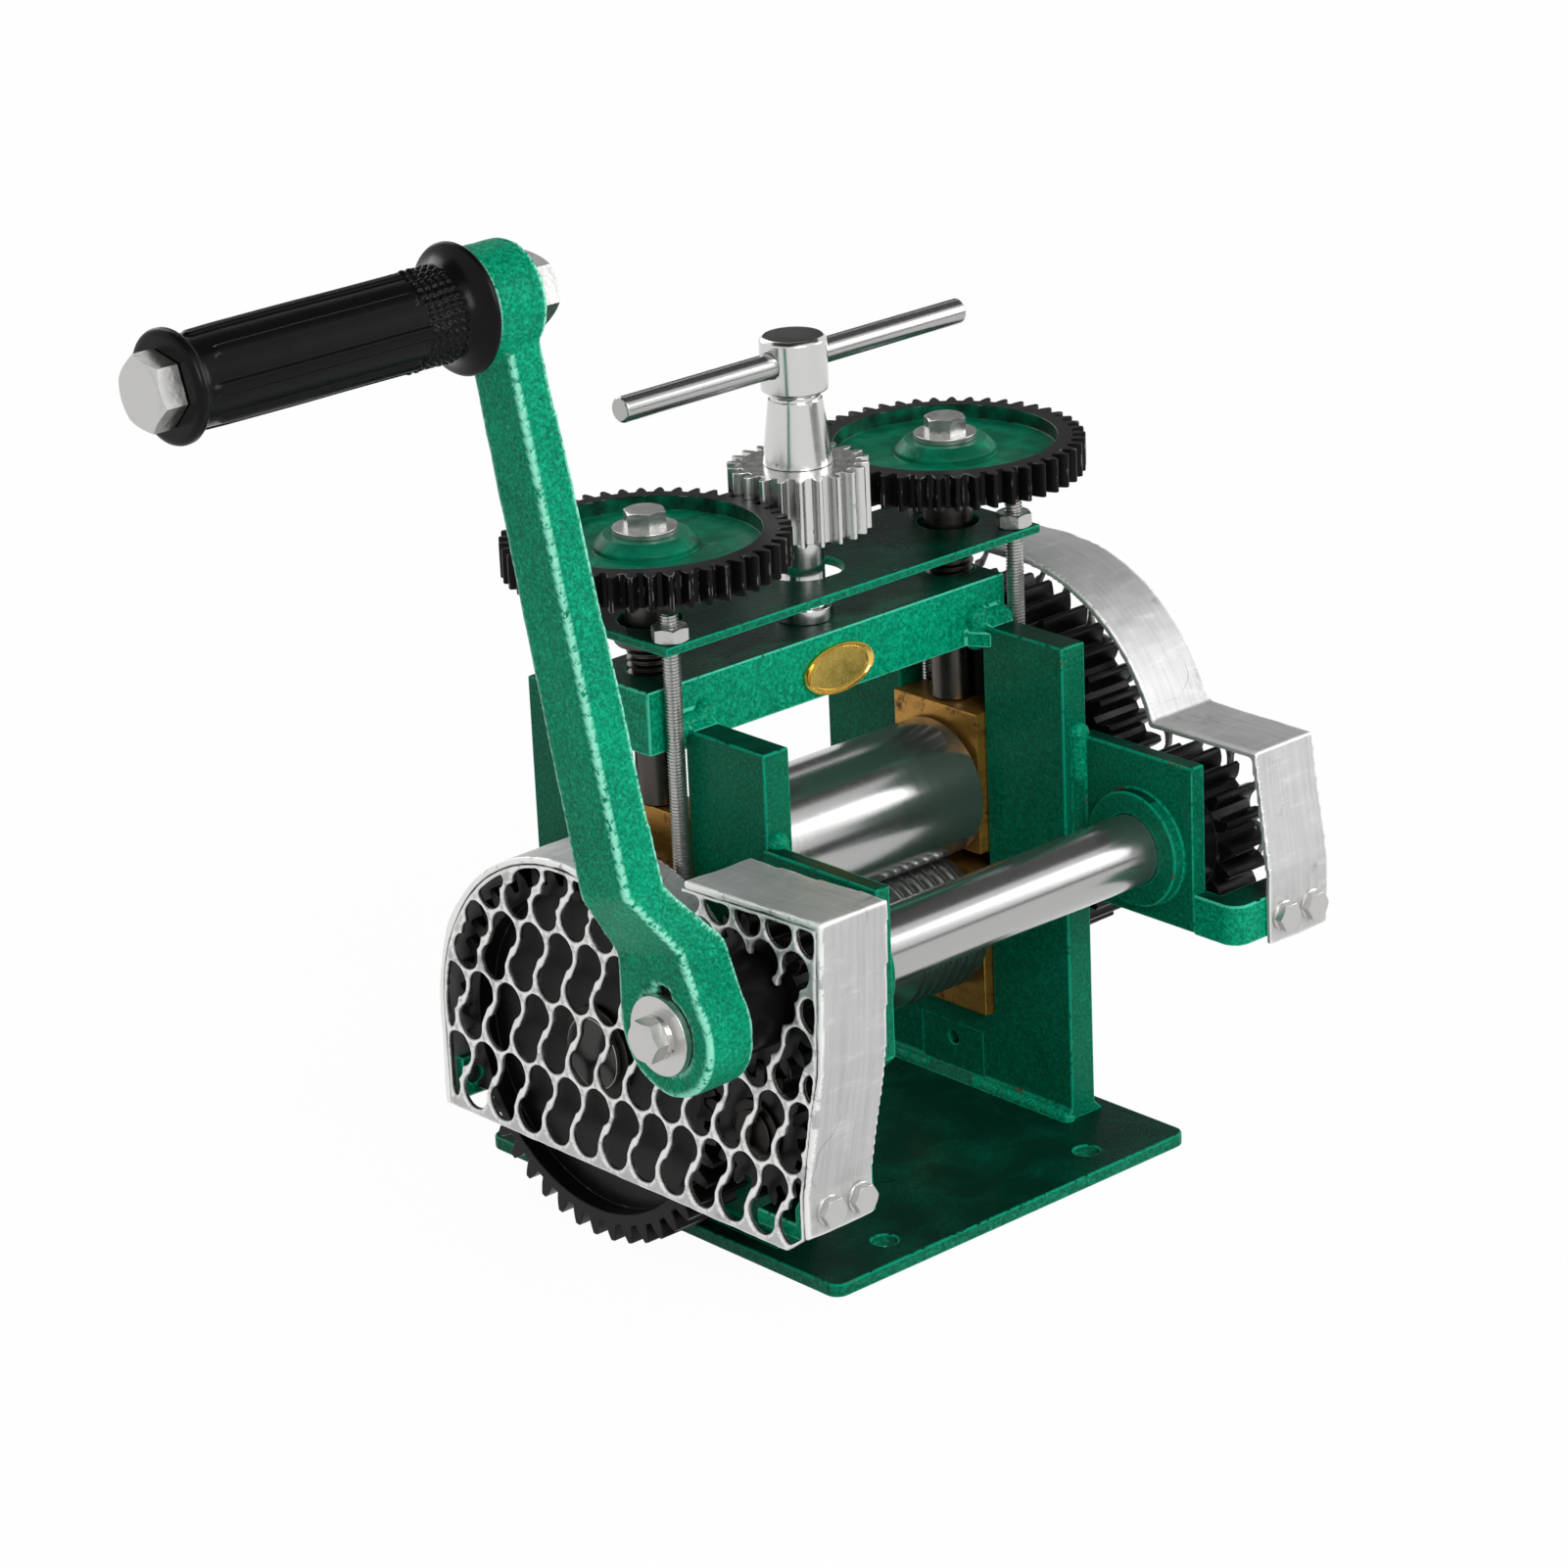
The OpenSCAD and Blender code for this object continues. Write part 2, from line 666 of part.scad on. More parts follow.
// Flat outline of the right cover, tall enough for the upper gear at its highest
module right_cover_outline(inset, drop) {
    bottom = right_cover_bottom - drop;
    r = cover_r - inset;
    top_z = upper_axis_z + lift_max;
    intersection() {
        union() {
            translate([roller_y, top_z]) circle(r = r, $fn = 96);
            translate([roller_y - hood_step, top_z]) circle(r = r, $fn = 96);
            translate([roller_y - hood_step, top_z]) square([hood_step, r]);
            translate([roller_y - r, bottom]) square([2 * r, top_z - bottom]);
            polygon([
                [roller_y, right_box_top - inset],
                [right_box_front + inset, right_box_top - inset],
                [right_foot_front + inset, shaft_z - box_side_gap],
                [right_foot_front + inset, bottom],
                [roller_y, bottom]
            ]);
        }
        translate([right_foot_front - overrun, bottom])
            square([cover_r + roller_y - right_foot_front + 2 * overrun, top_z + cover_r - bottom]);
    }
}

// Peanut shaped hole, upper lobe to the front and lower lobe to the back
module peanut() {
    circle(d = waist_w, $fn = 24);
    for (s = [-1, 1]) translate([-s * lobe_side, s * lobe_rise]) circle(d = lobe_d, $fn = 24);
}

// Rows of pierced holes, each row straight above the one below
module hole_field(y0, z0, rows, columns) {
    for (row = [0 : rows - 1], column = [0 : columns - 1])
        translate([y0 - column * hole_pitch, z0 + row * row_pitch]) peanut();
}

module left_cover_grille() {
    color(cover_grey) on_side(-1) along_x(gear_out + cover_side_gap, 0, 0) linear_extrude(grille_t) difference() {
        left_cover_outline(band_t, 0);
        intersection() {
            left_cover_outline(band_t + grille_rim, -grille_rim);
            hole_field(roller_y + hole_back + 5 * hole_pitch, left_cover_bottom + hole_rise, 5, 15);
        }
        translate([shaft_y, shaft_z]) circle(d = spacer_hole_d);
    }
}

module right_cover_grille() {
    color(cover_grey) along_x(gear_out + cover_side_gap, 0, 0) linear_extrude(grille_t) difference() {
        right_cover_outline(band_t, 0);
        intersection() {
            right_cover_outline(band_t + grille_rim, -grille_rim);
            hole_field(roller_y + hole_back + 5 * hole_pitch, right_cover_bottom + hole_rise, 5, 15);
        }
    }
}

// Places of the two cover bolts across a sheet, measured outwards from its inner edge
function bolt_x(k) = band_in + band_w * (k > 0 ? 1 - bolt_inset_share : bolt_inset_share);

module left_cover_band() {
    color(cover_grey) on_side(-1) difference() {
        along_x(band_in, 0, 0) linear_extrude(cover_out - band_in) difference() {
            left_cover_outline(0, 0);
            left_cover_outline(band_t, overrun);
        }
        for (k = [0, 1]) translate([bolt_x(k), 0, left_cover_bottom + lug_h / 2]) {
            translate([0, left_foot_front + band_t + overrun, left_lug_edge]) rotate([90, 0, 0])
                cylinder(d = cover_bolt_d + 2 * fit_gap, h = band_t + 2 * overrun);
            translate([0, roller_y + cover_r + overrun, lug_edge]) rotate([90, 0, 0])
                cylinder(d = cover_bolt_d + 2 * fit_gap, h = band_t + 2 * overrun);
        }
    }
}

module right_cover_band() {
    color(cover_grey) difference() {
        along_x(band_in, 0, 0) linear_extrude(cover_out - band_in) difference() {
            right_cover_outline(0, 0);
            right_cover_outline(band_t, overrun);
        }
        for (k = [0, 1]) translate([bolt_x(k), 0, right_cover_bottom + lug_edge + lug_h / 2]) {
            translate([0, right_foot_front + band_t + overrun, 0]) rotate([90, 0, 0])
                cylinder(d = cover_bolt_d + 2 * fit_gap, h = band_t + 2 * overrun);
            translate([0, roller_y + cover_r + overrun, 0]) rotate([90, 0, 0])
                cylinder(d = cover_bolt_d + 2 * fit_gap, h = band_t + 2 * overrun);
        }
    }
}

// Lug welded to the back edge of an upright, behind the sheet of a cover
module back_lug(bottom) {
    back = roller_y + cover_r - band_t;
    difference() {
        union() {
            box([upright_in, upright_back, bottom + lug_edge], [gear_in - overrun, back, bottom + lug_edge + lug_h]);
            box([gear_in - 2 * overrun, back - lug_back_t, bottom + lug_edge],
                [cover_out - grille_t - lug_end, back, bottom + lug_edge + lug_h]);
        }
        for (k = [0, 1]) translate([bolt_x(k), back + overrun, bottom + lug_edge + lug_h / 2])
            rotate([90, 0, 0]) cylinder(d = cover_bolt_d, h = lug_back_t + overrun + (k > 0 ? overrun : 0));
    }
}

module left_cover_lugs() {
    low = left_cover_bottom + left_lug_edge;
    strap_top = low + left_strap_join;
    front = left_foot_front + band_t;
    lug_out = cover_out - grille_t - lug_end;
    color(paint) on_side(-1) {
        difference() {
            union() {
                along_x(band_in + lug_end, 0, 0) linear_extrude(lug_out - band_in - lug_end) polygon([
                    [front, low], [front + left_lug_foot, low], [front + left_lug_foot, low + left_lug_step],
                    [front + left_lug_head, low + lug_h], [front, low + lug_h]
                ]);
                box([bracket_out, front + left_strap_set, strap_top - left_strap_h], [lug_out, idler_y, strap_top]);
            }
            for (k = [0, 1]) translate([bolt_x(k), front - overrun, low + lug_h / 2])
                rotate([-90, 0, 0]) cylinder(d = cover_bolt_d, h = cover_bolt_reach + overrun);
        }
        back_lug(left_cover_bottom);
    }
}

module right_cover_lugs() {
    low = right_cover_bottom + lug_edge;
    front = right_foot_front + band_t;
    bracket_face = shaft_y - bracket_front;
    color(paint) {
        difference() {
            union() {
                box([bracket_in + lug_t / 2, front, low], [cover_out - grille_t - lug_end, front + lug_t, low + lug_h]);
                translate([bracket_in + lug_t / 2, front + lug_t / 2, low]) cylinder(d = lug_t, h = lug_h);
                box([bracket_in, front + lug_t / 2, low], [bracket_out, bracket_face, low + lug_h]);
            }
            for (k = [0, 1]) translate([bolt_x(k), front - overrun, low + lug_h / 2])
                rotate([-90, 0, 0]) cylinder(d = cover_bolt_d, h = cover_bolt_reach + overrun);
        }
        back_lug(right_cover_bottom);
    }
}

// Hexagon headed bolt pointing along Z from under its head, for a threaded hole
module short_bolt(d, af, head, reach) {
    translate([0, 0, -head]) hex(af, head);
    cylinder(d = d - 2 * fit_gap, h = reach);
}

module cover_bolts() {
    back = roller_y + cover_r;
    color(zinc) for (side = [-1, 1]) on_side(side) for (k = [0, 1]) {
        middle = (side > 0 ? right_cover_bottom : left_cover_bottom) + lug_h / 2;
        front = side > 0 ? right_foot_front : left_foot_front;
        front_edge = side > 0 ? lug_edge : left_lug_edge;
        front_reach = (side > 0 ? cover_bolt_reach : left_bolt_reach) + band_t - overrun;
        translate([bolt_x(k), front, middle + front_edge]) rotate([-90, 0, 0])
            short_bolt(cover_bolt_d, cover_bolt_af, cover_bolt_head, front_reach);
        translate([bolt_x(k), back, middle + lug_edge]) rotate([90, 0, 0])
            short_bolt(cover_bolt_d, cover_bolt_af, cover_bolt_head, band_t + back_bolt_reach);
    }
}

// Bearing block with a flange outside the upright, bored for a journal
module bearing_block(side, axis_z, low, high, flange_low, flange_high) {
    on_side(side) difference() {
        union() {
            box([block_in, roller_y - block_w / 2, low], [flange_in, roller_y + block_w / 2, high]);
            box([flange_in, roller_y - flange_w / 2, flange_low], [flange_out, roller_y + flange_w / 2, flange_high]);
        }
        x_bar(journal_d + 2 * fit_gap, block_in - overrun, flange_out + overrun, roller_y, axis_z);
    }
}

module lower_block(side) {
    high = lower_axis_z + block_inner;
    color(old_brass) bearing_block(side, lower_axis_z, block_bottom, high, block_bottom, high);
}
module left_lower_block() { lower_block(-1); }
module right_lower_block() { lower_block(1); }

module upper_block(side) {
    low = upper_axis_z - block_inner;
    color(old_brass) difference() {
        bearing_block(side, upper_axis_z, low, block_top, low, flange_top);
        for (face = [-1, 1]) translate([side * rod_x, roller_y + face * rod_gap_y / 2, flange_top - rod_grip])
            cylinder(d = rod_d, h = rod_grip + overrun);
    }
}
module left_upper_block() { upper_block(-1); }
module right_upper_block() { upper_block(1); }

module idler_stud() {
    seat = gear_out + hub_gap;
    color(dark_steel) on_side(-1) difference() {
        union() {
            x_bar(stud_d - 2 * fit_gap, bracket_in, seat + clip_t, idler_y, idler_z);
        }
        along_x(seat, idler_y, idler_z) difference() {
            cylinder(d = stud_d + overrun, h = clip_t / 2);
            cylinder(d = stud_d - 2 * clip_depth, h = clip_t / 2);
        }
    }
}

module idler_clip() {
    color(dark_steel) on_side(-1) along_x(gear_out + hub_gap, idler_y, idler_z)
        clip_ring(stud_d - 2 * clip_depth, clip_t / 2);
}

// Keyway box on top of a shaft, grown by a gap
module key_box(x0, x1, y, z, d, gap) {
    box([x0 - gap, y - key_w / 2 - gap, z + d / 2 - key_h / 2 - gap],
        [x1 + gap, y + key_w / 2 + gap, z + d / 2 + key_h / 2 + gap]);
}

shaft_right = gear_in + right_pinion_w;

module drive_shaft() {
    color(polished) difference() {
        x_bar(shaft_d, -crank_hub_out + face_gap, shaft_right + 2 * clip_t, shaft_y, shaft_z);
        along_x(-crank_hub_out, shaft_y, shaft_z) cylinder(d = crank_bolt_d, h = crank_bolt_reach);
        along_x(shaft_right + hub_gap, shaft_y, shaft_z) difference() {
            cylinder(d = shaft_d + overrun, h = clip_t);
            cylinder(d = shaft_d - 2 * clip_depth, h = clip_t);
        }
        drive_key_boxes(fit_gap);
    }
}

// The three keys of the drive shaft: crank, left pinion and right pinion
module drive_key_boxes(gap) {
    end_gap = 2 * clip_t;
    key_box(-crank_hub_out + crank_bolt_reach * 0.1, -crank_hub_in - end_gap, shaft_y, shaft_z, shaft_d, gap);
    key_box(-gear_out + end_gap, -gear_in, shaft_y, shaft_z, shaft_d, gap);
    key_box(gear_in, shaft_right - end_gap, shaft_y, shaft_z, shaft_d, gap);
}

module drive_keys() { color(dark_steel) drive_key_boxes(0); }

// Drive pinion with a hub that keeps it off the bracket
module drive_pinion(side, w) {
    root_r = gear_module * (pinion_teeth / 2 - 1.25);
    on_side(side) difference() {
        union() {
            along_x(gear_in, shaft_y, shaft_z) linear_extrude(w) gear_outline(gear_module, pinion_teeth, 0);
            x_bar(2 * root_r - overrun, bracket_out + hub_gap, gear_in, shaft_y, shaft_z);
        }
        x_bar(shaft_d + 2 * fit_gap, bracket_out - overrun, gear_in + w + overrun, shaft_y, shaft_z);
        key_box(bracket_out - overrun, gear_in + w + overrun, shaft_y, shaft_z, shaft_d, fit_gap);
    }
}
module left_drive_pinion() { color(black_iron) drive_pinion(-1, gear_w); }
module right_drive_pinion() { color(black_iron) drive_pinion(1, right_pinion_w); }

module shaft_clip() {
    color(dark_steel) along_x(shaft_right + hub_gap, shaft_y, shaft_z)
        clip_ring(shaft_d - 2 * clip_depth, clip_t);
}

module crank_spacer() {
    color(zinc) difference() {
        x_bar(spacer_d, -crank_hub_in + face_gap, -gear_out - face_gap, shaft_y, shaft_z);
        x_bar(shaft_d + 2 * fit_gap, -crank_hub_in - overrun, -gear_out + overrun, shaft_y, shaft_z);
    }
}

// Turns the crank's own frame, its arm along Z, to its place on the drive shaft
module on_crank() {
    translate([0, shaft_y, shaft_z]) rotate([-crank_lean, 0, 0]) children();
}

module crank_arm() {
    arm_foot = joggle_high;
    color(paint) difference() {
        union() {
            on_crank() x_bar(hub_d, -crank_hub_out, -crank_hub_in, 0, 0);
            on_crank() x_bar(boss_d, -boss_out, -boss_in, 0, crank_length);
            on_crank() intersection() {
                along_x(-arm_out - overrun, 0, 0) linear_extrude(arm_out - crank_hub_in + 2 * overrun)
                    polygon([
                        [-hub_d / 2, 0], [-arm_w_low / 2, arm_foot], [-arm_w_top / 2, crank_length],
                        [arm_w_top / 2, crank_length], [arm_w_low / 2, arm_foot], [hub_d / 2, 0]
                    ]);
                translate([0, hub_d, 0]) rotate([90, 0, 0]) linear_extrude(2 * hub_d)
                    polygon([
                        [-crank_hub_in, 0], [-crank_hub_in, joggle_low], [-arm_out + arm_t_low, joggle_high],
                        [-boss_in, crank_length - boss_d / 2], [-boss_in, crank_length], [-arm_out, crank_length],
                        [-arm_out, joggle_high], [-crank_hub_out, joggle_low], [-crank_hub_out, 0]
                    ]);
            }
        }
        x_bar(shaft_d + 2 * fit_gap, -crank_hub_out - overrun, -crank_hub_in + overrun, shaft_y, shaft_z);
        key_box(-crank_hub_out - overrun, -crank_hub_in + overrun, shaft_y, shaft_z, shaft_d, fit_gap);
        on_crank() x_bar(handle_bolt_d + 2 * fit_gap, -boss_out - overrun, -boss_in + overrun, 0, crank_length);
    }
}

module crank_washer() {
    lock_face = crank_hub_out + washer_t;
    color(zinc) difference() {
        union() {
            x_bar(washer_d, -lock_face, -crank_hub_out, shaft_y, shaft_z);
            x_bar(lock_washer_d, -lock_face - lock_washer_t, -lock_face, shaft_y, shaft_z);
        }
        x_bar(crank_bolt_d + 2 * fit_gap, -lock_face - lock_washer_t - overrun, -crank_hub_out + overrun,
              shaft_y, shaft_z);
    }
}

module crank_bolt() {
    color(zinc) along_x(-crank_hub_out - washer_t - lock_washer_t, shaft_y, shaft_z)
        short_bolt(crank_bolt_d, crank_bolt_af, crank_bolt_head, crank_bolt_reach - overrun);
}

module handle_bolt() {
    color(zinc) on_crank() along_x(-grip_out - hub_gap, 0, crank_length) {
        translate([0, 0, -handle_bolt_head]) hex(handle_bolt_af, handle_bolt_head);
        cylinder(d = handle_bolt_d, h = grip_out + hub_gap - boss_in + handle_nut_t + handle_tip);
    }
}

module handle_nut() {
    color(zinc) on_crank() along_x(-boss_in, 0, crank_length) difference() {
        hex(handle_bolt_af, handle_nut_t);
        translate([0, 0, -overrun]) cylinder(d = handle_bolt_d + 2 * fit_gap, h = handle_nut_t + 2 * overrun);
    }
}

// Rubber grip turned from its own profile: flange at the arm, long barrel, flange at the free end
module handle_grip() {
    bore_r = handle_bolt_d / 2 + fit_gap;
    body_r = grip_d / 2;
    color(rubber) on_crank() along_x(-grip_in, 0, crank_length) mirror([0, 0, 1]) rotate_extrude() polygon([
        [bore_r, 0],
        [grip_flange_d / 2 * 0.97, 0],
        [grip_flange_d / 2, 0.006 * grip_len],
        [grip_flange_d / 2, 0.016 * grip_len],
        [grip_flange_d / 2 * 0.96, 0.022 * grip_len],
        [body_r * 1.12, 0.045 * grip_len],
        [body_r * 0.99, 0.075 * grip_len],
        [body_r * 0.97, 0.16 * grip_len],
        [body_r, 0.24 * grip_len],
        [body_r * 1.02, 0.55 * grip_len],
        [body_r, 0.88 * grip_len],
        [body_r * 0.97, 0.945 * grip_len],
        [grip_end_d / 2 * 0.95, 0.962 * grip_len],
        [grip_end_d / 2, 0.972 * grip_len],
        [grip_end_d / 2, 0.992 * grip_len],
        [grip_end_d / 2 * 0.95, grip_len],
        [bore_r, grip_len]
    ]);
}

module idler_gear() {
    root_r = gear_module * (idler_teeth / 2 - 1.25);
    color(black_iron) on_side(-1) difference() {
        union() {
            along_x(gear_in, idler_y, idler_z) linear_extrude(gear_w)
                gear_outline(gear_module, idler_teeth, idler_phase);
            x_bar(2 * root_r - 2 * overrun, bracket_out + hub_gap, gear_in, idler_y, idler_z);
        }
        x_bar(stud_d + 2 * fit_gap, bracket_out - overrun, gear_out + overrun, idler_y, idler_z);
    }
}

// Roller with a long journal on the gear's side, drawn for the right
module roller_body(gear_side, axis_z) {
    seat = hub_face + hub_gap;
    on_side(gear_side) difference() {
        union() {
            x_bar(roller_d, -face_half, face_half, roller_y, axis_z);
            x_bar(journal_d, -journal_short, seat + 2 * clip_t, roller_y, axis_z);
        }
        along_x(seat, roller_y, axis_z) difference() {
            cylinder(d = journal_d + overrun, h = clip_t);
            cylinder(d = journal_d - 2 * clip_depth, h = clip_t);
        }
        key_box(flange_out + hub_gap + overrun, hub_face - 2 * clip_t, roller_y, axis_z, journal_d, fit_gap);
    }
}

module lower_roller() {
    color(polished) difference() {
        roller_body(-1, lower_axis_z);
        for (k = [0 : groove_count - 1])
            along_x(face_half - groove_edge - k * groove_pitch, roller_y, lower_axis_z)
                rotate_extrude() translate([roller_d / 2, 0])
                    circle(d = groove_w * (1 - k * groove_step_share), $fn = 24);
    }
}

module upper_roller() { color(polished) roller_body(1, upper_axis_z); }

// Roller gear with a sunk web on both faces and a hub that reaches in to the block's flange
module roller_gear(side, axis_z, phase) {
    rim_r = gear_module * (gear_teeth / 2 - 1.25) - gear_rim;
    web_in = gear_in + (gear_w - gear_web) / 2;
    on_side(side) difference() {
        union() {
            difference() {
                along_x(gear_in, roller_y, axis_z) linear_extrude(gear_w)
                    gear_outline(gear_module, gear_teeth, phase);
                x_bar(2 * rim_r, gear_in - overrun, web_in, roller_y, axis_z);
                x_bar(2 * rim_r, web_in + gear_web, gear_out + overrun, roller_y, axis_z);
            }
            x_bar(gear_hub_d, flange_out + hub_gap, hub_face, roller_y, axis_z);
        }
        x_bar(journal_d + 2 * fit_gap, flange_out - overrun, gear_out + overrun, roller_y, axis_z);
        key_box(flange_out - overrun, gear_out, roller_y, axis_z, journal_d, fit_gap);
    }
}
module lower_roller_gear() { color(black_iron) roller_gear(-1, lower_axis_z, lower_phase); }
module upper_roller_gear() { color(black_iron) roller_gear(1, upper_axis_z, upper_phase); }

module gear_key(side, axis_z) {
    color(dark_steel) on_side(side)
        key_box(flange_out + hub_gap + overrun, hub_face - 2 * clip_t, roller_y, axis_z, journal_d, 0);
}
module lower_gear_key() { gear_key(-1, lower_axis_z); }
module upper_gear_key() { gear_key(1, upper_axis_z); }

module gear_clip(side, axis_z) {
    color(dark_steel) on_side(side) along_x(hub_face + hub_gap, roller_y, axis_z)
        clip_ring(journal_d - 2 * clip_depth, clip_t);
}
module lower_gear_clip() { gear_clip(-1, lower_axis_z); }
module upper_gear_clip() { gear_clip(1, upper_axis_z); }

module thrust_washers(axis_z) {
    color(old_brass) for (side = [-1, 1]) on_side(side) difference() {
        x_bar(thrust_d, block_in - face_gap - thrust_t, block_in - face_gap, roller_y, axis_z);
        x_bar(journal_d + 2 * fit_gap, face_half - overrun, block_in + overrun, roller_y, axis_z);
    }
}
module lower_thrust_washers() { thrust_washers(lower_axis_z); }
module upper_thrust_washers() { thrust_washers(upper_axis_z); }

module lifting_plate() {
    color(paint) difference() {
        box([-plate_w / 2, roller_y - plate_l / 2, plate_bottom], [plate_w / 2, roller_y + plate_l / 2, plate_top]);
        for (side = [-1, 1]) translate([side * screw_x, roller_y, plate_bottom - overrun])
            cylinder(d = plate_screw_hole_d, h = plate_t + 2 * overrun);
        translate([0, roller_y, plate_bottom - overrun])
            cylinder(d = plate_spindle_hole_d, h = plate_t + 2 * overrun);
        for (side = [-1, 1], face = [-1, 1])
            translate([side * rod_x, roller_y + face * rod_gap_y / 2, plate_bottom - overrun])
                cylinder(d = rod_d + 2 * fit_gap, h = plate_t + 2 * overrun);
    }
}

module lift_rods() {
    low = flange_top - rod_grip;
    color(zinc) for (side = [-1, 1], face = [-1, 1])
        translate([side * rod_x, roller_y + face * rod_gap_y / 2, low])
            cylinder(d = rod_d - 2 * fit_gap, h = plate_top + rod_nut_t + rod_tip - low);
}

module rod_nuts() {
    color(zinc) for (side = [-1, 1], face = [-1, 1])
        translate([side * rod_x, roller_y + face * rod_gap_y / 2, plate_top]) difference() {
            hex(rod_nut_af, rod_nut_t);
            translate([0, 0, -overrun]) cylinder(d = rod_d + 2 * fit_gap, h = rod_nut_t + 2 * overrun);
        }
}

module pressure_screw(side) {
    color(dark_steel) translate([side * screw_x, roller_y, 0]) difference() {
        union() {
            translate([0, 0, block_top + face_gap])
                cylinder(d = screw_pin_d, h = screw_gear_bottom - block_top - face_gap);
            translate([0, 0, yoke_top - yoke_h + screw_pin_set])
                cylinder(d = screw_d, h = screw_gear_bottom - yoke_top + yoke_h - screw_pin_set);
            translate([0, 0, plate_bottom - face_gap - screw_collar_t])
                cylinder(d = screw_collar_d, h = screw_collar_t);
            translate([0, 0, screw_gear_bottom])
                cylinder(d = screw_spigot_d, h = screw_gear_w - face_gap);
        }
        translate([0, 0, screw_gear_top - screw_bolt_reach])
            cylinder(d = screw_bolt_d, h = screw_bolt_reach + overrun);
    }
}
module left_pressure_screw() { pressure_screw(-1); }
module right_pressure_screw() { pressure_screw(1); }

// Screw gear with a sunk web on top and a bevelled hub
module screw_gear(side, phase) {
    rim_r = screw_module * (screw_gear_teeth / 2 - 1.25) - screw_gear_rim;
    web_top = screw_gear_web;
    color(black_iron) translate([side * screw_x, roller_y, screw_gear_bottom]) difference() {
        union() {
            difference() {
                linear_extrude(screw_gear_w) gear_outline(screw_module, screw_gear_teeth, phase);
                translate([0, 0, web_top]) cylinder(r = rim_r, h = screw_gear_w);
            }
            rotate_extrude() polygon([
                [0, 0], [screw_hub_d / 2, 0], [screw_hub_d / 2, web_top + hub_bevel / 2],
                [screw_hub_d / 2 - hub_bevel, screw_gear_w], [0, screw_gear_w]
            ]);
        }
        translate([0, 0, -overrun]) cylinder(d = screw_spigot_d + 2 * fit_gap, h = screw_gear_w + 2 * overrun);
    }
}
module left_screw_gear() { screw_gear(-1, left_screw_phase); }
module right_screw_gear() { screw_gear(1, right_screw_phase); }

module screw_washer(side) {
    color(zinc) translate([side * screw_x, roller_y, screw_gear_top]) difference() {
        cylinder(d = screw_washer_d, h = screw_washer_t);
        translate([0, 0, -overrun]) cylinder(d = screw_bolt_d + 2 * fit_gap, h = screw_washer_t + 2 * overrun);
    }
}
module left_screw_washer() { screw_washer(-1); }
module right_screw_washer() { screw_washer(1); }

module screw_bolt(side) {
    color(zinc) translate([side * screw_x, roller_y, screw_gear_top + screw_washer_t]) mirror([0, 0, 1])
        short_bolt(screw_bolt_d, screw_bolt_af, screw_bolt_head, screw_bolt_reach - overrun);
}
module left_screw_bolt() { screw_bolt(-1); }
module right_screw_bolt() { screw_bolt(1); }

// Spindle turned from its own profile, with a cross hole for the tommy bar
module spindle() {
    r = spindle_d / 2;
    tail = yoke_bottom - spindle_tail;
    clip_z = yoke_bottom - hub_gap - tail_clip_t;
    collar = yoke_top + face_gap;
    color(polished) translate([0, roller_y, 0]) difference() {
        rotate_extrude() polygon([
            [0, tail],
            [r, tail],
            [r, clip_z],
            [r - clip_depth, clip_z],
            [r - clip_depth, clip_z + tail_clip_t],
            [r, clip_z + tail_clip_t],
            [r, collar],
            [spindle_collar_d / 2, collar],
            [spindle_collar_d / 2, collar + spindle_collar_h],
            [r, collar + spindle_collar_h],
            [r, pinion_top + face_gap],
            [cone_d / 2, pinion_top + face_gap],
            [neck_d / 2, cone_top],
            [neck_d / 2 - head_chamfer / 2, cone_top],
            [neck_d / 2 - head_chamfer / 2, cone_top + groove_h / 2],
            [head_d / 2, cone_top + groove_h],
            [head_d / 2, spindle_top - head_chamfer],
            [head_d / 2 - head_chamfer, spindle_top],
            [0, spindle_top]
        ]);
        translate([-head_d, 0, tommy_z]) rotate([0, 90, 0]) cylinder(d = tommy_d + 2 * fit_gap, h = 2 * head_d);
    }
}

module spindle_pinion() {
    color(polished) translate([0, roller_y, pinion_bottom]) difference() {
        linear_extrude(spindle_pinion_w) gear_outline(screw_module, spindle_teeth, 0);
        translate([0, 0, -overrun]) cylinder(d = spindle_d + 2 * fit_gap, h = spindle_pinion_w + 2 * overrun);
    }
}

module tommy_bar() {
    chamfer = tommy_d * 0.1;
    r = tommy_d / 2;
    color(polished) translate([-tommy_len / 2, roller_y, tommy_z]) rotate([0, 90, 0]) rotate_extrude() polygon([
        [0, 0], [r - chamfer, 0], [r, chamfer], [r, tommy_len - chamfer], [r - chamfer, tommy_len], [0, tommy_len]
    ]);
}

module spindle_clip() {
    color(dark_steel) translate([0, roller_y, yoke_bottom - hub_gap - tail_clip_t])
        clip_ring(spindle_d - 2 * clip_depth, tail_clip_t);
}

base_plate();
left_upright();
right_upright();
left_slot_filler();
right_slot_filler();
top_yoke();
left_shaft_bracket();
right_shaft_bracket();
left_cover_lugs();
right_cover_lugs();
left_cover_grille();
left_cover_band();
right_cover_grille();
right_cover_band();
cover_bolts();
left_lower_block();
right_lower_block();
idler_stud();
idler_clip();
drive_shaft();
left_drive_pinion();
right_drive_pinion();
drive_keys();
shaft_clip();
crank_spacer();
crank_arm();
crank_washer();
crank_bolt();
handle_bolt();
handle_nut();
handle_grip();
idler_gear();
lower_roller();
lower_roller_gear();
lower_gear_key();
lower_gear_clip();
lower_thrust_washers();
upper_roller();
upper_roller_gear();
upper_gear_key();
upper_gear_clip();
upper_thrust_washers();
left_upper_block();
right_upper_block();
lifting_plate();
lift_rods();
rod_nuts();
left_pressure_screw();
left_screw_gear();
left_screw_washer();
left_screw_bolt();
right_pressure_screw();
right_screw_gear();
